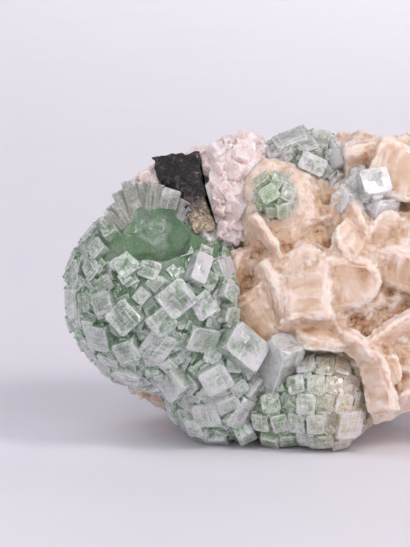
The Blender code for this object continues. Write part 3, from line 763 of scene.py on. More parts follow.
def clear_piece():
    foot, tip = seen_point(*CLEAR_FOOT), seen_point(*CLEAR_TIP)
    upright = stand(foot, (tip - foot).normalized(), 0) @ Matrix.Rotation(math.radians(CLEAR_TURN), 4, "Z")
    tall = Crystal(upright, CLEAR_SIZE, CLEAR_SIZE, 6, (tip - foot).length)
    half = CLEAR_SIZE / 2
    obj = prism(tall, -tall.root, tall.tip, half, half, (0, 0), CLEAR_CORNER, 0.3, (0.2, 0.1, 0.5), 0.8)
    obj.name = "clear_crystal"
    return combine(obj, [core_object("room", blob, 4, 0, 0.1) for blob in FAN], "DIFFERENCE")


def small_cluster(name, table, blobs, others, root=6.0, frost=0.6, green=0.3):
    rng = random.Random(name)
    placed = placed_crystals(table, blobs, root)
    small = filling_crystals(blobs, others, [], *CLUSTER_SMALL, rng, 4)
    return dressed(name, blobs, [(placed, frost, green, 1.0), (small, frost - 0.1, green + 0.1, 0.3)], 3)


def back_piece():
    rng = random.Random(8)
    large = filling_crystals(BACK, STILBITE, [], *BACK_LARGE, rng)
    small = filling_crystals(BACK, STILBITE, [], *BACK_SMALL, rng, 4)
    return dressed("back_crystals", BACK, [(large, 0.55, 0.5, 1.0), (small, 0.45, 0.6, 0.3)], 3)


# Stilbite

RINGS = 9  # along a lamina
SECTION = [(-1, -0.4), (-0.82, -1), (0.82, -1), (1, -0.4), (1, 0.4), (0.82, 1), (-0.82, 1), (-1, 0.4)]


def lamina(frame, length, width, thickness, bend, rng, tone):
    """One thin leaf with a blunt round end, slightly bent."""
    bm = bmesh.new()
    inside = bm.loops.layers.float_vector.new("inside")
    tones = bm.loops.layers.float_vector.new("tone")
    seed = rng.uniform(0, 100)
    lean = rng.uniform(-0.08, 0.08)
    rings, where = [], {}
    for k in range(RINGS):
        t = k / (RINGS - 1)
        tip = max(0.0, (t - 0.55) / 0.45)
        half = width / 2 * math.sqrt(max(0.0, 1 - 0.93 * tip**2.4))
        half *= 1 + 0.1 * noise.noise(Vector((t * 4, seed, 0)))
        thick = thickness / 2 * (1 - 0.35 * t * t) * (1 - 0.45 * tip**3)
        sag = bend * length * t * t
        ring = []
        for x, y in SECTION:
            ripple = 0.05 * thickness * noise.noise(Vector((t * 5, x * 2, seed + 9)))
            local = Vector((x * half + lean * length * t, y * thick + sag + ripple, (t - 0.5) * length))
            vert = bm.verts.new(frame @ local)
            where[vert] = (x, y, t)
            ring.append(vert)
        rings.append(ring)
    count = len(SECTION)
    for low, high in zip(rings, rings[1:]):
        for k in range(count):
            bm.faces.new((low[k], low[(k + 1) % count], high[(k + 1) % count], high[k]))
    bm.faces.new(rings[0][::-1])
    bm.faces.new(rings[-1])
    bmesh.ops.recalc_face_normals(bm, faces=bm.faces)
    for face in bm.faces:
        for loop in face.loops:
            loop[inside] = where[loop.vert]
            loop[tones] = tone
    return mesh_object("lamina", bm)


def book(blade, rng, leaves=None):
    """A blade as the thin leaves that it is made of, which differ in length and spread a little."""
    leaves = leaves or max(1, round(blade.thickness / 2.0))
    pitch = blade.thickness / leaves
    bend = rng.uniform(-0.07, 0.07)
    made = []
    tone = (rng.random(), rng.random(), rng.random())
    for k in range(leaves):
        place = k - (leaves - 1) / 2
        spread = Matrix.Rotation(math.radians(-2.2 * place + rng.uniform(-2, 2)), 4, "X")
        turn = Matrix.Rotation(math.radians(rng.uniform(-5, 5)), 4, "Y")
        length = blade.length * rng.uniform(0.86, 1.02)
        width = blade.width * rng.uniform(0.84, 1.02)
        foot = Matrix.Translation((0, 0, -blade.length / 2))
        placed = blade.frame @ Matrix.Translation((0, place * pitch, 0))
        frame = placed @ foot @ spread @ turn @ foot.inverted()
        made.append(lamina(frame, length, width, pitch * 1.08, bend, rng, tone))
    return made


def blade_at(point, aim, rise, roll, lift, size):
    """A blade whose length points aim degrees round the display side and rises towards the viewer."""
    turn, nod, lean = math.radians(aim), math.radians(rise), math.radians(roll)
    in_view = RIGHT * math.cos(turn) + UP * math.sin(turn)
    axis = (in_view * math.cos(nod) - AWAY * math.sin(nod)).normalized()
    side = in_view.cross(AWAY).normalized()
    face = axis.cross(side).normalized()
    if face.dot(AWAY) > 0:
        face = -face
    face = Matrix.Rotation(lean, 3, axis) @ face
    frame = Matrix((face.cross(axis), face, axis)).transposed().to_4x4()
    frame.translation = point - AWAY * lift
    return Blade(frame, *size)


def spread_blades(point, normal, rng, lengths, widths, thicknesses, opening, stands_out):
    """Two blades that spread from one foot."""
    side = Matrix.Rotation(rng.uniform(0, math.pi), 3, normal) @ normal.orthogonal().normalized()
    hinge = normal.cross(side)
    length, width = rng.uniform(*lengths), rng.uniform(*widths)
    blades = []
    for half_turn in (-0.5, 0.5):
        spread = math.radians(opening * half_turn + rng.uniform(-5, 5))
        axis = (Matrix.Rotation(spread, 3, hinge) @ normal).normalized()
        face = hinge.cross(axis).normalized()
        frame = Matrix((face.cross(axis), face, axis)).transposed().to_4x4()
        frame.translation = point - normal * (length / 2 - stands_out) + hinge * rng.uniform(-1, 1)
        blades.append(Blade(frame, length, width * rng.uniform(0.85, 1), rng.uniform(*thicknesses)))
    return blades


def bare(point, blob, margin):
    """Whether a point of a stilbite lobe shows, clear of what grows on it."""
    taken = BALL + FAN + TOP + RIGHT_PAIR + BUD + BACK + CRUST
    if any(b.inside(point, margin) for b in taken):
        return False
    return not any(b is not blob and b.inside(point) for b in STILBITE)


def large_blades(rng):
    """The blades that the CAD model has."""
    blades = []
    for across, up, length, width, thickness, aim, rise, roll, lift in STILBITE_BLADES:
        point, _ = surface_seen(STILBITE, across, up)
        blades.append(blade_at(point, aim, rise, roll, lift, (length, width, thickness)))
    sizes = (SHEAF_LENGTHS, SHEAF_WIDTHS, SHEAF_THICKNESSES, SHEAF_OPENING, SHEAF_STANDS_OUT)
    for blob in SHEAVED:
        area = 4 * math.pi * (sum(blob.radii) / 3) ** 2
        for direction in spread_directions(round(area / SHEAF_AREA)):
            point = blob.towards(direction)
            in_table = direction.y < 0 and point.x < TABLE_REACHES
            in_reach = SHEAF_HEIGHTS[0] < point.z < SHEAF_HEIGHTS[1] and point.y < SHEAF_FURTHEST_BACK
            if in_reach and not in_table and bare(point, blob, SHEAF_CLEARANCE):
                blades += spread_blades(point, blob.normal(point), rng, *sizes)
    return blades


def small_blades(rng):
    """Low tufts over all of the surface, which only ripple the smooth lobe."""
    blades = []
    for blob in STILBITE:
        area = 4 * math.pi * (sum(blob.radii) / 3) ** 2
        smooth = blob is STILBITE[1]
        for direction in spread_directions(round(area / (90 if smooth else 46))):
            point = blob.towards(direction)
            if bare(point, blob, 1.5) and point.z > 5:
                lean = (blob.normal(point) + jitter(rng, 0.6)).normalized()
                out = rng.uniform(0.2, 0.7) if smooth else rng.uniform(0.8, 3.0)
                blades += spread_blades(point, lean, rng, (8, 15), (5, 10), (1.6, 3.2), 30, out)
    return blades


PLUG_AT, PLUG_RADIUS = (-2.1, 51.4), 5  # a cleft between blades that more mineral has filled
MOST_TRIANGLES = 190000
RELIEF_ROUNDS = 24  # of smoothing, against which hollows and ridges are told


def stilbite_piece():
    rng = random.Random(3)
    blades = large_blades(rng) + small_blades(rng)
    cores = [core_object("core", blob, 4, 2.0) for blob in STILBITE]
    leaves = [leaf for blade in blades for leaf in book(blade, rng)]
    plug, _ = surface_seen(STILBITE, *PLUG_AT)
    cores.append(core_object("plug", Blob(plug, (PLUG_RADIUS,) * 3), 3, 1.0))
    obj = combine(cores[0], cores[1:] + leaves, "UNION")
    labels = obj.data.copy()
    fill_clefts(obj, 0.6, 0.9)
    rooms = BALL + FAN + TOP + RIGHT_PAIR + BUD + BACK
    cutters = [core_object("room", blob, 3, 0, GAP) for blob in rooms]
    combine(obj, cutters + [floor_cutter(), rock(GAP)], "DIFFERENCE")
    largest_island(obj)
    remeshed(obj, 0.5, MOST_TRIANGLES, 2, labels)
    obj.name = "stilbite_blades"
    roughen(
        obj.data,
        [
            (lambda p: noise.noise(p * 0.28), 0.5),
            (lambda p: noise.fractal(p * 0.8, 0.8, 2.1, 3), 0.34),
        ],
    )
    write_points(obj.data, "relief", hollowness(obj.data, RELIEF_ROUNDS))
    return obj


def move_skin(mesh, push):
    """Moves all points along their normals."""
    count = len(mesh.vertices)
    points, normals = np.empty(count * 3), np.empty(count * 3)
    mesh.vertices.foreach_get("co", points)
    mesh.vertex_normals.foreach_get("vector", normals)
    mesh.vertices.foreach_set("co", points + normals * push)
    mesh.update()


def remesh(obj, voxel):
    modifier = obj.modifiers.new("grain", "REMESH")
    modifier.mode = "VOXEL"
    modifier.voxel_size = voxel
    baked(obj)


def fill_clefts(obj, voxel, reach):
    """Closes what is narrower than twice the reach, as mineral that grew together."""
    remesh(obj, voxel)
    move_skin(obj.data, reach)
    remesh(obj, voxel)
    move_skin(obj.data, -reach)


def remeshed(obj, voxel, most, smooth, labels):
    """The same form in even small facets. What labels says of each corner is carried over."""
    remesh(obj, voxel)
    if smooth:
        soft = obj.modifiers.new("soft", "SMOOTH")
        soft.iterations = smooth
        baked(obj)
    count = len(obj.data.polygons) * 2
    if count > most:
        thin = obj.modifiers.new("thin", "DECIMATE")
        thin.ratio = most / count
        baked(obj)
    if labels is not None:
        carry_labels(labels, obj.data)
        bpy.data.meshes.remove(labels)


def carry_labels(source, target):
    """Copies inside and tone from the nearest corner of source to the points of target."""
    count = len(source.loops)
    corner_vert = np.empty(count, dtype=np.int32)
    source.loops.foreach_get("vertex_index", corner_vert)
    places = np.empty(len(source.vertices) * 3)
    source.vertices.foreach_get("co", places)
    places = places.reshape(-1, 3)
    values = {}
    for name in ("inside", "tone"):
        if name in source.attributes:
            data = np.empty(count * 3)
            source.attributes[name].data.foreach_get("vector", data)
            values[name] = data.reshape(-1, 3)
    source.calc_loop_triangles()
    tris = np.empty(len(source.loop_triangles) * 3, dtype=np.int32)
    source.loop_triangles.foreach_get("loops", tris)
    tris = tris.reshape(-1, 3)
    tree = BVHTree.FromPolygons(places.tolist(), corner_vert[tris].tolist())
    out = {name: np.zeros((len(target.vertices), 3)) for name in values}
    for k, vert in enumerate(target.vertices):
        point, _, index, _ = tree.find_nearest(vert.co)
        corners = tris[index]
        a, b, c = (places[corner_vert[corner]] for corner in corners)
        p = np.array(point)
        v0, v1, v2 = b - a, c - a, p - a
        d00, d01, d11 = v0 @ v0, v0 @ v1, v1 @ v1
        d20, d21 = v2 @ v0, v2 @ v1
        scale = d00 * d11 - d01 * d01
        if scale < 1e-12:
            weights = (1, 0, 0)
        else:
            v = (d11 * d20 - d01 * d21) / scale
            w = (d00 * d21 - d01 * d20) / scale
            weights = (1 - v - w, v, w)
        for name, data in values.items():
            out[name][k] = sum(weight * data[corner] for weight, corner in zip(weights, corners))
    for name, data in out.items():
        layer = target.attributes.new(name, "FLOAT_VECTOR", "POINT")
        layer.data.foreach_set("vector", data.ravel())


def hollowness(mesh, rounds):
    """How far each point lies in a hollow (over 0) or on a ridge (under 0), in mm."""
    count = len(mesh.vertices)
    points = np.empty(count * 3)
    mesh.vertices.foreach_get("co", points)
    points = points.reshape(-1, 3)
    normals = np.empty(count * 3)
    mesh.vertex_normals.foreach_get("vector", normals)
    normals = normals.reshape(-1, 3)
    edges = np.empty(len(mesh.edges) * 2, dtype=np.int32)
    mesh.edges.foreach_get("vertices", edges)
    a, b = edges.reshape(-1, 2).T
    share = np.bincount(a, minlength=count) + np.bincount(b, minlength=count)
    smooth = points.copy()
    for _ in range(rounds):
        total = np.zeros_like(smooth)
        for axis in range(3):
            total[:, axis] = np.bincount(a, smooth[b, axis], count) + np.bincount(b, smooth[a, axis], count)
        smooth = 0.5 * smooth + 0.5 * total / np.maximum(share, 1)[:, None]
    return np.einsum("ij,ij->i", smooth - points, normals)


def write_points(mesh, name, values):
    layer = mesh.attributes.new(name, "FLOAT", "POINT")
    layer.data.foreach_set("value", values.astype(np.float32))


# Crust and basalt


GRAIN_SIZES, LARGE_GRAIN, GRAIN_AREA = (1.4, 2.0, 2.6, 3.6, 5.0), 4.4, 5


def crust_piece():
    """Lumps set all over with small blocky crystals."""
    rng = random.Random(17)
    parts = [core_object("core", blob, 4, 1.8) for blob in CRUST]
    for blob in CRUST:
        area = 4 * math.pi * (sum(blob.radii) / 3) ** 2
        for direction in spread_directions(round(area / GRAIN_AREA)):
            point = blob.towards(direction)
            size = rng.choice(GRAIN_SIZES) * rng.uniform(0.8, 1.2)
            axis = (blob.normal(point) + jitter(rng, 0.7)).normalized()
            spin, lift = rng.uniform(0, 90), size * rng.uniform(0.05, 0.4)
            hidden = any(b is not blob and b.inside(point, -0.5) for b in CRUST)
            if hidden or size > LARGE_GRAIN and rng.random() < 0.5:
                continue
            crystal = Crystal(stand(point, axis, spin), size, size * rng.uniform(0.7, 1.2), size, lift)
            reach = (crystal.width / 2, crystal.depth / 2)
            tone = (rng.random(), rng.random(), rng.random())
            parts.append(prism(crystal, -size, lift, *reach, (0, 0), 0.3 * size, 0.05 * size, tone))
    obj = combine(parts[0], parts[1:], "UNION")
    room = [core_object("room", blob, 3, 0, GAP) for blob in BALL + TOP]
    combine(obj, room + [rock(GAP)], "DIFFERENCE")
    largest_island(obj)
    obj.name = "sugary_crust"
    return obj


def hull(points):
    bm = bmesh.new()
    verts = [bm.verts.new(Vector(p)) for p in points]
    made = bmesh.ops.convex_hull(bm, input=verts)
    loose = [g for g in made["geom_interior"] if isinstance(g, bmesh.types.BMVert)]
    bmesh.ops.delete(bm, geom=loose, context="VERTS")
    return mesh_object("hull", bm)


def broken_lump(centre, radii, rng):
    """Corners of one squarish lump of broken rock."""
    points = []
    for direction in spread_directions(LUMP_CORNERS):
        nudged = (direction + jitter(rng, 0.3)).normalized()
        square = [math.copysign(abs(n) ** 0.7, n) * r for n, r in zip(nudged, radii)]
        points.append(Vector(centre) + Vector(square))
    return points


def rock(grow=0.0):
    """The broken rock. One to cut others with is already waved, and grows by the gap."""
    rng = random.Random(21)
    hulls = [hull(BASALT_WEDGE)]
    hulls += [hull(broken_lump(centre, radii, rng)) for centre, radii in BASALT_LUMPS]
    obj = combine(hulls[0], hulls[1:], "UNION")
    if grow:
        bm = bmesh.new()
        bm.from_mesh(obj.data)
        bm.normal_update()
        for vert in bm.verts:
            vert.co += wobble(vert.co * BASALT_WAVES) * BASALT_WAVE_HEIGHT + vert.normal * grow
        bm.to_mesh(obj.data)
        bm.free()
    return obj


def roughen(mesh, layers):
    """Moves each point along its normal by the sum of the layers, each (function, size in mm)."""
    moved = []
    for vert in mesh.vertices:
        push = sum(size * height(vert.co) for height, size in layers)
        moved.append(vert.co + vert.normal * push)
    for vert, point in zip(mesh.vertices, moved):
        vert.co = point


def basalt_piece():
    obj = rock()
    remeshed(obj, 0.7, 180000, 0, None)
    for vert in obj.data.vertices:
        vert.co += wobble(vert.co * BASALT_WAVES) * BASALT_WAVE_HEIGHT
    roughen(
        obj.data,
        [
            (lambda p: noise.fractal(p * 0.16, 0.8, 2.1, 5), 0.9),
            (lambda p: abs(noise.noise(p * 0.33 + Vector((7, 1, 3)))), -1.3),
            (lambda p: noise.cell(p * 0.9), 0.18),
        ],
    )
    combine(obj, [floor_cutter()], "DIFFERENCE")
    largest_island(obj)
    obj.name = "broken_basalt"
    return obj


# Materials


class Look:
    """A node material. Colours are as seen on a screen, 0 to 255, and lengths are in millimetres."""

    def __init__(self, name):
        self.material = bpy.data.materials.new(name)
        self.material.use_nodes = True
        self.tree = self.material.node_tree
        self.shader = self.tree.nodes["Principled BSDF"]
        self.output = self.tree.nodes["Material Output"]
        place = self.add("ShaderNodeTexCoord").outputs["Object"]
        self.place = self.vector("SCALE", place, scale=1 / MM)

    def add(self, kind, **settings):
        node = self.tree.nodes.new(kind)
        for key, value in settings.items():
            setattr(node, key, value)
        return node

    def feed(self, socket, value):
        if isinstance(value, bpy.types.NodeSocket):
            self.tree.links.new(value, socket)
        else:
            socket.default_value = value

    def math(self, operation, a, b=0.0, c=0.0, clamp=False):
        node = self.add("ShaderNodeMath", operation=operation, use_clamp=clamp)
        for socket, value in zip(node.inputs, (a, b, c)):
            self.feed(socket, value)
        return node.outputs[0]

    def vector(self, operation, a, b=(0, 0, 0), scale=1.0):
        node = self.add("ShaderNodeVectorMath", operation=operation)
        self.feed(node.inputs[0], a)
        if operation == "SCALE":
            node.inputs["Scale"].default_value = scale
        else:
            self.feed(node.inputs[1], b)
        return node.outputs["Vector"]

    def spread(self, value, low, high, to_low=0.0, to_high=1.0, smooth=True):
        """Maps low..high to to_low..to_high and holds it at the ends."""
        node = self.add("ShaderNodeMapRange", interpolation_type="SMOOTHSTEP" if smooth else "LINEAR")
        for socket, given in zip(node.inputs, (value, low, high, to_low, to_high)):
            self.feed(socket, given)
        return node.outputs[0]

    def read(self, name):
        """The x, y and z of an attribute of the mesh."""
        return self.axes(self.add("ShaderNodeAttribute", attribute_name=name).outputs["Vector"])

    def amount(self, name):
        return self.add("ShaderNodeAttribute", attribute_name=name).outputs["Fac"]

    def gather(self, x, y, z):
        node = self.add("ShaderNodeCombineXYZ")
        for socket, value in zip(node.inputs, (x, y, z)):
            self.feed(socket, value)
        return node.outputs[0]

    def grain(self, size, detail=2.0, roughness=0.5, at=None, distortion=0.0):
        """Noise from 0 to 1 whose patches are about size across."""
        node = self.add("ShaderNodeTexNoise")
        self.feed(node.inputs["Vector"], self.place if at is None else at)
        for key, value in (("Scale", 1 / size), ("Detail", detail), ("Roughness", roughness)):
            node.inputs[key].default_value = value
        node.inputs["Distortion"].default_value = distortion
        return node.outputs["Fac"]

    def cells(self, size):
        """How far each point is from the middle of its cell."""
        node = self.add("ShaderNodeTexVoronoi")
        self.feed(node.inputs["Vector"], self.place)
        node.inputs["Scale"].default_value = 1 / size
        return node.outputs["Distance"]

    def blend(self, amount, a, b):
        node = self.add("ShaderNodeMix", data_type="RGBA", clamp_factor=True)
        self.feed(node.inputs["Factor"], amount)
        for socket, value in ((node.inputs[6], a), (node.inputs[7], b)):
            self.feed(socket, value if isinstance(value, bpy.types.NodeSocket) else colour(value))
        return node.outputs[2]

    def ramp(self, value, stops):
        node = self.add("ShaderNodeValToRGB")
        self.feed(node.inputs[0], value)
        ramp = node.color_ramp
        for _ in range(len(stops) - 2):
            ramp.elements.new(0.5)
        for element, (position, shade) in zip(ramp.elements, stops):
            element.position = position
        for element, (position, shade) in zip(ramp.elements, stops):
            element.color = colour(shade)
        return node.outputs[0]

    def bump(self, height, depth, strength=1.0, under=None):
        node = self.add("ShaderNodeBump")
        node.inputs["Strength"].default_value = strength
        node.inputs["Distance"].default_value = depth * MM
        self.feed(node.inputs["Height"], height)
        if under is not None:
            self.feed(node.inputs["Normal"], under)
        return node.outputs[0]

    def axes(self, vector):
        """The x, y and z of a vector."""
        split = self.add("ShaderNodeSeparateXYZ")
        self.feed(split.inputs[0], vector)
        return split.outputs

    def times(self, *values):
        product = values[0]
        for value in values[1:]:
            product = self.math("MULTIPLY", product, value)
        return product

    def total(self, *parts, start=0.0, clamp=False):
        """The sum of start and the parts, each (value, weight)."""
        for k, (value, weight) in enumerate(parts):
            start = self.math("MULTIPLY_ADD", value, weight, start, clamp and k == len(parts) - 1)
        return start

    def set(self, **values):
        """Sets the shader's sockets. Their names are written with _ for spaces."""
        for key, value in values.items():
            self.feed(self.shader.inputs[key.replace("_", " ")], value)


def colour(shade):
    """A colour seen on a screen, as the shader wants it."""
    return (*[((s / 255 + 0.055) / 1.055) ** 2.4 if s > 10 else s / 255 / 12.92 for s in shade], 1)


# Deep, middle and pale tones of crystals
GREEN = (112, 154, 110), (158, 190, 160), (208, 224, 212)
LEAF_GREEN = (128, 170, 118), (176, 202, 164), (216, 224, 206)
PALE_GREEN = (172, 198, 152), (200, 214, 182), (222, 224, 206)
GREY_GREEN = (168, 184, 154), (206, 212, 198), (238, 238, 234)
GLASSY = (186, 182, 172), (222, 220, 216), (244, 243, 244)
GREY = (146, 142, 132), (186, 186, 178), (226, 226, 224)  # where a crystal isn't green
BEIGE = (184, 164, 134), (216, 198, 170), (236, 218, 194)  # of the fan's right side
# painted highlight: the white along each crystal's bevelled edges
EDGE_HIGHLIGHT = (253, 254, 253)

APOPHYLLITE_IOR = 1.535
FROSTED = 3.0  # mm below a tip that are paler
HIGH, LOW = 60, 18  # between these heights the crystals get paler downwards, as painted light from below
BEIGE_FROM, BEIGE_TO = 2, 16  # across
MOSAIC_LEAN = 0.5  # of the blocks that a crystal's face is made of


def crystal_look(name, tones, clearness=0.35, tint=(0.4, 0.84, 0.46), density=12.0, lift=0.0, beige=False):
    """beige turns the crystals beige towards the right, and lift makes them paler."""
    look = Look(name)
    x, y, z = look.read("inside")
    frost, green, seed = look.read("tone")
    outline, lid, below = look.read("kind")
    shade = look.amount("shade")
    across, _, up = look.axes(look.place)
    edge = look.math("MAXIMUM", look.math("ABSOLUTE", x), look.math("ABSOLUTE", y))
    # The tip face is paler in a frame along its margin and greener in its heart: partly the crystal's own
    # zoning, partly a painted inner reflection.
    ring = look.times(look.spread(edge, 0.5, 0.95), lid)
    heart = look.times(look.spread(edge, 0.85, 0.2), lid)
    near_tip = look.spread(below, FROSTED, 0.0)

    # Veils, flecks and thin feathers inside it
    own = look.vector("ADD", look.place, look.gather(look.times(seed, 90), 0, 0))
    veil = look.grain(2.0, 4, 0.7, own, distortion=1.0)
    cloud = look.grain(9.0, 3, 0.6)
    fleck = look.grain(0.45, 3, 0.75, own)
    feather = look.math("SUBTRACT", look.grain(1.5, 3, 0.6, own, distortion=1.6), 0.5)
    feather = look.spread(look.math("ABSOLUTE", feather), 0.035, 0.01)

    # Lines along its edges, and the blocks of a mosaic that each lean a little
    fine_z = look.total((z, 0.1), (seed, 40))
    along = [look.gather(look.times(x, a), look.times(y, b), fine_z) for a, b in ((5, 0.5), (0.5, 5))]
    lines = look.math("MAXIMUM", *[look.grain(1.0, 3, 0.6, at) for at in along])
    streak = look.spread(lines, 0.56, 0.66)
    mosaic = look.add("ShaderNodeTexVoronoi", distance="CHEBYCHEV")
    look.feed(mosaic.inputs["Vector"], look.gather(look.times(x, 2), look.times(y, 2), fine_z))
    mosaic.inputs["Scale"].default_value = 1.0
    mosaic.inputs["Randomness"].default_value = 0.8
    tilt = mosaic.outputs["Color"]

    patterns = ((veil, 1.6), (cloud, 1.3), (look.axes(tilt)[0], 0.36), (fleck, 0.35))
    mean = 0.5 * sum(weight for _, weight in patterns)
    paleness = look.total(
        *patterns,
        (near_tip, 0.12),
        (frost, 0.3),
        (ring, 0.14),
        (heart, -0.14),
        (look.times(streak, near_tip), 0.34),
        # painted light: paler towards the bottom, as if lit from below
        (look.spread(up, HIGH, LOW), 0.4),
        # painted shade: darker where a point is walled in
        (shade, -0.3),
        (green, -0.16),
        start=0.08 + lift - mean,
    )
    # Painted shade also turns walled-in places a deeper green.
    greenness = look.total((green, 0.55), (cloud, -1.4), (veil, 0.7), (shade, 0.5), start=0.66, clamp=True)
    tones = [look.blend(greenness, grey, tone) for grey, tone in zip(GREY, tones)]
    if beige:
        rightwards = look.spread(look.total((veil, 14), (across, 1), start=-7), BEIGE_FROM, BEIGE_TO)
        tones = [look.blend(rightwards, tone, other) for tone, other in zip(tones, BEIGE)]
    deep, middle, pale = tones
    low = look.blend(look.spread(paleness, 0.0, 0.34, smooth=False), deep, middle)
    base = look.blend(look.spread(paleness, 0.34, 0.66, smooth=False), low, pale)
    broken = look.times(look.spread(near_tip, 0.0, 1.0, 0.25, 0.9), look.spread(veil, 0.42, 0.6, 0.2, 1.0))
    # White: the outline term is a painted highlight along the bevelled edges; the palest places and the
    # feathers are the crystal's own white.
    white = look.total(
        (look.spread(outline, 0.45, 1.0), broken),
        (look.spread(paleness, 0.66, 0.95, 0.0, 0.8), 1),
        (feather, look.spread(paleness, 0.1, 0.6, 0.2, 0.7)),
        clamp=True,
    )
    haze = look.spread(look.total((paleness, 1), (fleck, 0.3)), 0.4, 1.1)

    normal = look.bump(look.times(lines, look.spread(lid, 0.0, 1.0, 1.0, 0.35)), 0.22, 0.6)
    normal = look.bump(feather, 0.06, 0.6, normal)
    normal = look.bump(fleck, 0.06, 0.6, normal)
    lean = look.vector("SCALE", look.vector("SUBTRACT", tilt, (0.5, 0.5, 0.5)), scale=MOSAIC_LEAN)
    normal = look.vector("NORMALIZE", look.vector("ADD", normal, lean))
    look.set(
        Base_Color=look.blend(white, base, EDGE_HIGHLIGHT),
        Roughness=look.spread(haze, 0, 1, 0.05, 0.2, False),
        Specular_IOR_Level=1.0,
        Transmission_Weight=clearness,
        IOR=APOPHYLLITE_IOR,
        Subsurface_Weight=1.0,
        Subsurface_Radius=(0.8, 1.0, 0.8),
        Subsurface_Scale=4.0 * MM,
        Coat_Weight=1.0,
        Coat_Roughness=0.04,
        Coat_Normal=normal,
        Normal=normal,
    )
    volume = look.add("ShaderNodeVolumeAbsorption")
    volume.inputs["Color"].default_value = (*tint, 1)
    volume.inputs["Density"].default_value = density
    look.tree.links.new(volume.outputs[0], look.output.inputs["Volume"])
    return look.material


def stilbite_look():
    look = Look("stilbite_blades")
    x, y, t = look.read("inside")
    _, _, seed = look.read("tone")
    shade = look.amount("shade")
    edge = look.math("MAXIMUM", look.math("ABSOLUTE", x), look.spread(t, 0.55, 1.0))
    patch = look.grain(9, 4, 0.55)
    vein = look.grain(2.2, 4, 0.6)
    fine = look.grain(0.45, 3, 0.7)
    turn = look.total((t, 0.5), (seed, 50))
    striae = look.grain(0.5, 4, 0.6, look.gather(look.times(x, 2.6), look.times(y, 1.2), turn))
    relief = look.amount("relief")
    # Painted shade: walled-in places (shade) and hollows (relief) are painted darker and browner, and ridges
    # paler; the patches, veins and seed are the stilbite's own colour.
    warmth_and_shade = look.total(
        (shade, 0.6),
        (patch, 0.5),
        (vein, 0.6),
        (look.spread(relief, -0.5, 0.6, -0.24, 0.3, False), 1),
        (look.spread(edge, 0.7, 1.0), -0.16),
        (seed, 0.12),
        start=-0.36,
        clamp=True,
    )
    base = look.ramp(
        warmth_and_shade,
        [
            (0.0, (230, 214, 204)),
            (0.26, (216, 190, 170)),
            (0.5, (208, 174, 146)),
            (0.74, (192, 144, 106)),
            (1.0, (128, 82, 52)),
        ],
    )
    # Dark brown spots, the stilbite's own marks, laid only in the most walled-in hollows, where they also
    # stand in for painted shade.
    spot = look.spread(look.grain(0.9, 3, 0.7, distortion=0.6), 0.58, 0.64)
    spot = look.times(spot, look.spread(look.math("ADD", shade, relief), 0.5, 0.75))
    base = look.blend(spot, base, (74, 48, 34))
    normal = look.bump(striae, 0.45, 0.8)
    normal = look.bump(vein, 0.5, 0.6, normal)
    normal = look.bump(fine, 0.13, 0.7, normal)
    look.set(
        Base_Color=base,
        Roughness=look.spread(fine, 0.3, 0.7, 0.3, 0.52),
        IOR=1.5,
        Subsurface_Weight=1.0,
        Subsurface_Radius=(1.0, 0.6, 0.42),
        Subsurface_Scale=4.0 * MM,
        Coat_Weight=0.15,
        Coat_Roughness=0.28,
        Normal=normal,
    )
    return look.material


def crust_look():
    look = Look("sugary_crust")
    patch = look.grain(6, 4, 0.6)
    sugar = look.cells(0.7)
    grit = look.grain(0.9, 4, 0.7)
    # painted shade: the crust is darker and browner where walled in
    tone = look.total((patch, 0.8), (grit, 0.35), (look.amount("shade"), 0.5), clamp=True)
    stops = [(0.2, (246, 240, 242)), (0.5, (234, 220, 220)), (0.75, (214, 192, 186)), (1.0, (168, 148, 140))]
    normal = look.bump(sugar, 0.32, 0.9)
    normal = look.bump(grit, 0.2, 0.7, normal)
    look.set(
        Base_Color=look.ramp(tone, stops),
        Roughness=look.spread(look.cells(0.6), 0.1, 0.5, 0.1, 0.4),
        IOR=1.5,
        Specular_IOR_Level=0.8,
        Subsurface_Weight=1.0,
        Subsurface_Radius=(1.0, 0.8, 0.75),
        Subsurface_Scale=2.5 * MM,
        Normal=normal,
    )
    return look.material


def basalt_look():
    look = Look("broken_basalt")
    patch = look.grain(9, 5, 0.6)
    grit = look.grain(0.8, 5, 0.75)
    across, away, up = look.axes(look.place)
    front = look.spread(away, 4, -6)
    weathered = look.times(look.spread(up, 79, 68), front)
    right_rim = look.times(look.spread(look.total((up, 0.4), (across, 1)), 8, 12), front)
    tone = look.total((patch, 0.7), (grit, 0.5), (weathered, 0.3), start=-0.12, clamp=True)
    base = look.ramp(
        tone, [(0.3, (36, 33, 36)), (0.52, (66, 60, 62)), (0.72, (104, 92, 84)), (0.95, (158, 142, 126))]
    )
    mottle = look.total(
        (look.grain(1.6, 5, 0.75, distortion=0.6), 1),
        (look.math("MAXIMUM", weathered, right_rim), 0.12),
        (look.spread(look.grain(7, 3, 0.6), 0.5, 0.75, 0.0, 0.07), 1),
    )
    base = look.blend(look.spread(mottle, 0.5, 0.56), (28, 24, 24), base)
    base = look.blend(look.spread(mottle, 0.66, 0.7), base, (196, 178, 150))
    normal = look.bump(grit, 0.5, 0.8)
    look.set(Base_Color=base, Roughness=look.spread(grit, 0.3, 0.7, 0.6, 0.92), IOR=1.5, Normal=normal)
    return look.material


# Shade: how far each point is walled in by what stands around it


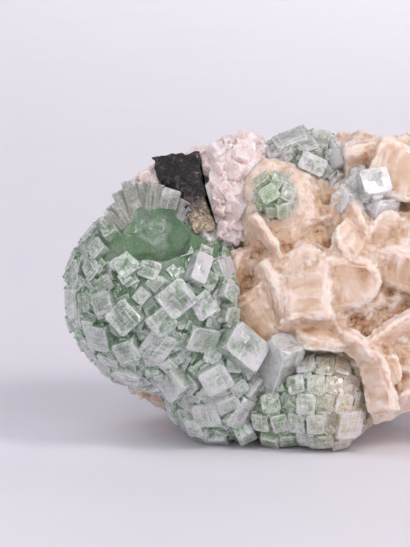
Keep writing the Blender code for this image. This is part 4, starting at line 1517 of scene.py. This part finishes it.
def write_shade(obj, walls, reach=7.0, rays=14):
    """Writes on each point the share of the directions in front of it that meet something within reach."""
    trees = []
    for wall in walls:
        mesh = wall.data
        mesh.calc_loop_triangles()
        places = np.empty(len(mesh.vertices) * 3)
        mesh.vertices.foreach_get("co", places)
        tris = np.empty(len(mesh.loop_triangles) * 3, dtype=np.int32)
        mesh.loop_triangles.foreach_get("vertices", tris)
        trees.append(BVHTree.FromPolygons(places.reshape(-1, 3).tolist(), tris.reshape(-1, 3).tolist()))
    directions = list(spread_directions(rays * 2))
    mesh = obj.data
    values = np.zeros(len(mesh.vertices))
    for k, vert in enumerate(mesh.vertices):
        normal = vert.normal
        start = vert.co + normal * 0.12
        met = total = 0.0
        for direction in directions:
            facing = direction.dot(normal)
            if facing < 0.15:
                continue
            total += facing
            for tree in trees:
                hit = tree.ray_cast(start, direction, reach)
                if hit[0] is not None:
                    met += facing * (1 - 0.6 * hit[3] / reach)
                    break
        values[k] = met / max(total, 0.01)
    write_points(mesh, "shade", values)


# The pieces

ball = ball_piece()
fan = fan_piece()
clear = clear_piece()
top = small_cluster("top_crystals", TOP_CRYSTALS, TOP, STILBITE + CRUST)
pair = small_cluster(
    "right_pair_of_crystals", RIGHT_PAIR_CRYSTALS, RIGHT_PAIR, STILBITE, frost=0.8, green=0.1
)
bud = small_cluster("bud_crystals", BUD_CRYSTALS, BUD, STILBITE, 4.0, frost=0.5, green=0.7)
back = back_piece()
stilbite = stilbite_piece()
crust = crust_piece()
basalt = basalt_piece()
# Shade, which the looks paint into the colours as painted shade
write_shade(stilbite, [stilbite, ball])
write_shade(crust, [crust, ball], 4.0)
for cluster in (ball, fan, clear, top, pair, bud, back):
    write_shade(cluster, [cluster], 4.0, 8)

green_look = crystal_look("green_apophyllite", GREEN)
fan_look = crystal_look("leaf_green_apophyllite", LEAF_GREEN, tint=(0.55, 0.86, 0.55), lift=-0.16, beige=True)
clear_look = crystal_look("clear_apophyllite", GLASSY, 0.4, (0.9, 0.9, 0.88), 2, lift=0.12)
grey_look = crystal_look("grey_apophyllite", GREY_GREEN, tint=(0.62, 0.8, 0.6), lift=0.08)
white_look = crystal_look("white_apophyllite", GLASSY, 0.25, (0.8, 0.85, 0.82), 4, lift=0.28)
bud_look = crystal_look("pale_green_apophyllite", PALE_GREEN, tint=(0.6, 0.86, 0.6), lift=0.08)
back_look = crystal_look("bright_green_apophyllite", LEAF_GREEN, tint=(0.5, 0.86, 0.52))
finish_piece(ball, "apophyllite_ball", green_look)
finish_piece(fan, "apophyllite_fan", fan_look)
finish_piece(clear, "apophyllite_fan", clear_look)
finish_piece(top, "apophyllite_top", grey_look)
finish_piece(pair, "apophyllite_right", white_look)
finish_piece(bud, "apophyllite_bud", bud_look)
finish_piece(back, "apophyllite_back", back_look)
finish_piece(stilbite, "stilbite", stilbite_look())
finish_piece(crust, "pale_crust", crust_look())
finish_piece(basalt, "basalt_matrix", basalt_look())


# The stage, the camera and the lights


FLOOR_REACH, WALL_AT, WALL_TOP, BEND_RADIUS, BEND_STEPS = 3.5, 2.6, 3.0, 0.8, 12


def backdrop():
    """A pale floor that turns up into a wall behind."""
    profile = [(-FLOOR_REACH, 0.0)]
    for k in range(BEND_STEPS + 1):
        angle = math.radians(90 * k / BEND_STEPS)
        y = WALL_AT - BEND_RADIUS + BEND_RADIUS * math.sin(angle)
        profile.append((y, BEND_RADIUS - BEND_RADIUS * math.cos(angle)))
    profile.append((WALL_AT, WALL_TOP))
    bm = bmesh.new()
    left, right = ([bm.verts.new((x, y, z)) for y, z in profile] for x in (-FLOOR_REACH, FLOOR_REACH))
    for k in range(len(profile) - 1):
        bm.faces.new((left[k], right[k], right[k + 1], left[k + 1])).smooth = True
    obj = mesh_object("floor", bm)
    look = Look("pale_floor")
    base = look.blend(look.grain(60, 2, 0.5), (222, 219, 227), (226, 223, 230))
    look.set(Base_Color=base, Roughness=0.6, IOR=1.45)
    obj.data.materials.append(look.material)
    bpy.context.scene.collection.objects.link(obj)


def point_at(obj, target):
    obj.rotation_euler = (target - obj.location).to_track_quat("-Z", "Y").to_euler()


def soft_light(name, place, target, size, power, shade):
    lamp = bpy.data.lights.new(name, "AREA")
    lamp.shape = "DISK"
    lamp.size = size
    lamp.energy = power
    lamp.color = colour(shade)[:3]
    obj = bpy.data.objects.new(name, lamp)
    obj.location = place
    bpy.context.scene.collection.objects.link(obj)
    point_at(obj, Vector(target))


LENS, CAMERA_DISTANCE, AIMED_AT = 219.5, 1.0, (-23.4, 48.25, 0)


def set_camera():
    lens = bpy.data.cameras.new("camera")
    lens.sensor_width = 36
    lens.lens = LENS
    lens.clip_end = 20
    camera = bpy.data.objects.new("camera", lens)
    target = (seen_point(*AIMED_AT) - ORIGIN) * MM
    camera.location = target - AWAY * CAMERA_DISTANCE
    bpy.context.scene.collection.objects.link(camera)
    point_at(camera, target)
    bpy.context.scene.camera = camera


# Soft panels of light all round, for the crystals to mirror: their size, the noise values between
# which a panel's edge lies, and how bright it is outside and in them
PANEL_SCALE, PANEL_EDGE, PANEL_GLOW = 1.8, (0.5, 0.55), (0.1, 1.75)


def room():
    world = bpy.data.worlds.new("room")
    world.use_nodes = True
    tree = world.node_tree
    panels = tree.nodes.new("ShaderNodeTexNoise")
    panels.inputs["Scale"].default_value = PANEL_SCALE
    panels.inputs["Detail"].default_value = 0
    directions = tree.nodes.new("ShaderNodeTexCoord")
    glow = tree.nodes.new("ShaderNodeMapRange")
    for socket, value in zip(glow.inputs[1:5], (*PANEL_EDGE, *PANEL_GLOW)):
        socket.default_value = value
    background = tree.nodes["Background"]
    background.inputs["Color"].default_value = colour((246, 244, 250))
    tree.links.new(directions.outputs["Generated"], panels.inputs["Vector"])
    tree.links.new(panels.outputs["Fac"], glow.inputs[0])
    tree.links.new(glow.outputs[0], background.inputs["Strength"])
    bpy.context.scene.world = world


backdrop()
set_camera()
room()
MIDDLE = (0, 0, 0.045)
soft_light("key", (0.62, -0.55, 0.85), MIDDLE, 0.36, 5.0, (255, 250, 246))
soft_light("sky", (-0.25, -0.35, 1.1), MIDDLE, 0.9, 2, (244, 246, 255))
soft_light("glint_left", (-0.35, -0.9, 0.75), MIDDLE, 0.2, 0.8, (255, 255, 255))
soft_light("glint_right", (0.55, -0.95, 0.35), MIDDLE, 0.2, 0.6, (255, 255, 255))
soft_light("fill", (-0.5, -1.1, 0.22), MIDDLE, 0.5, 2.0, (250, 252, 255))
soft_light("wall", (0.9, 1.0, 1.5), (0.5, 2.6, 0.5), 0.8, 24, (255, 253, 248))
bpy.context.scene.view_settings.view_transform = "Standard"
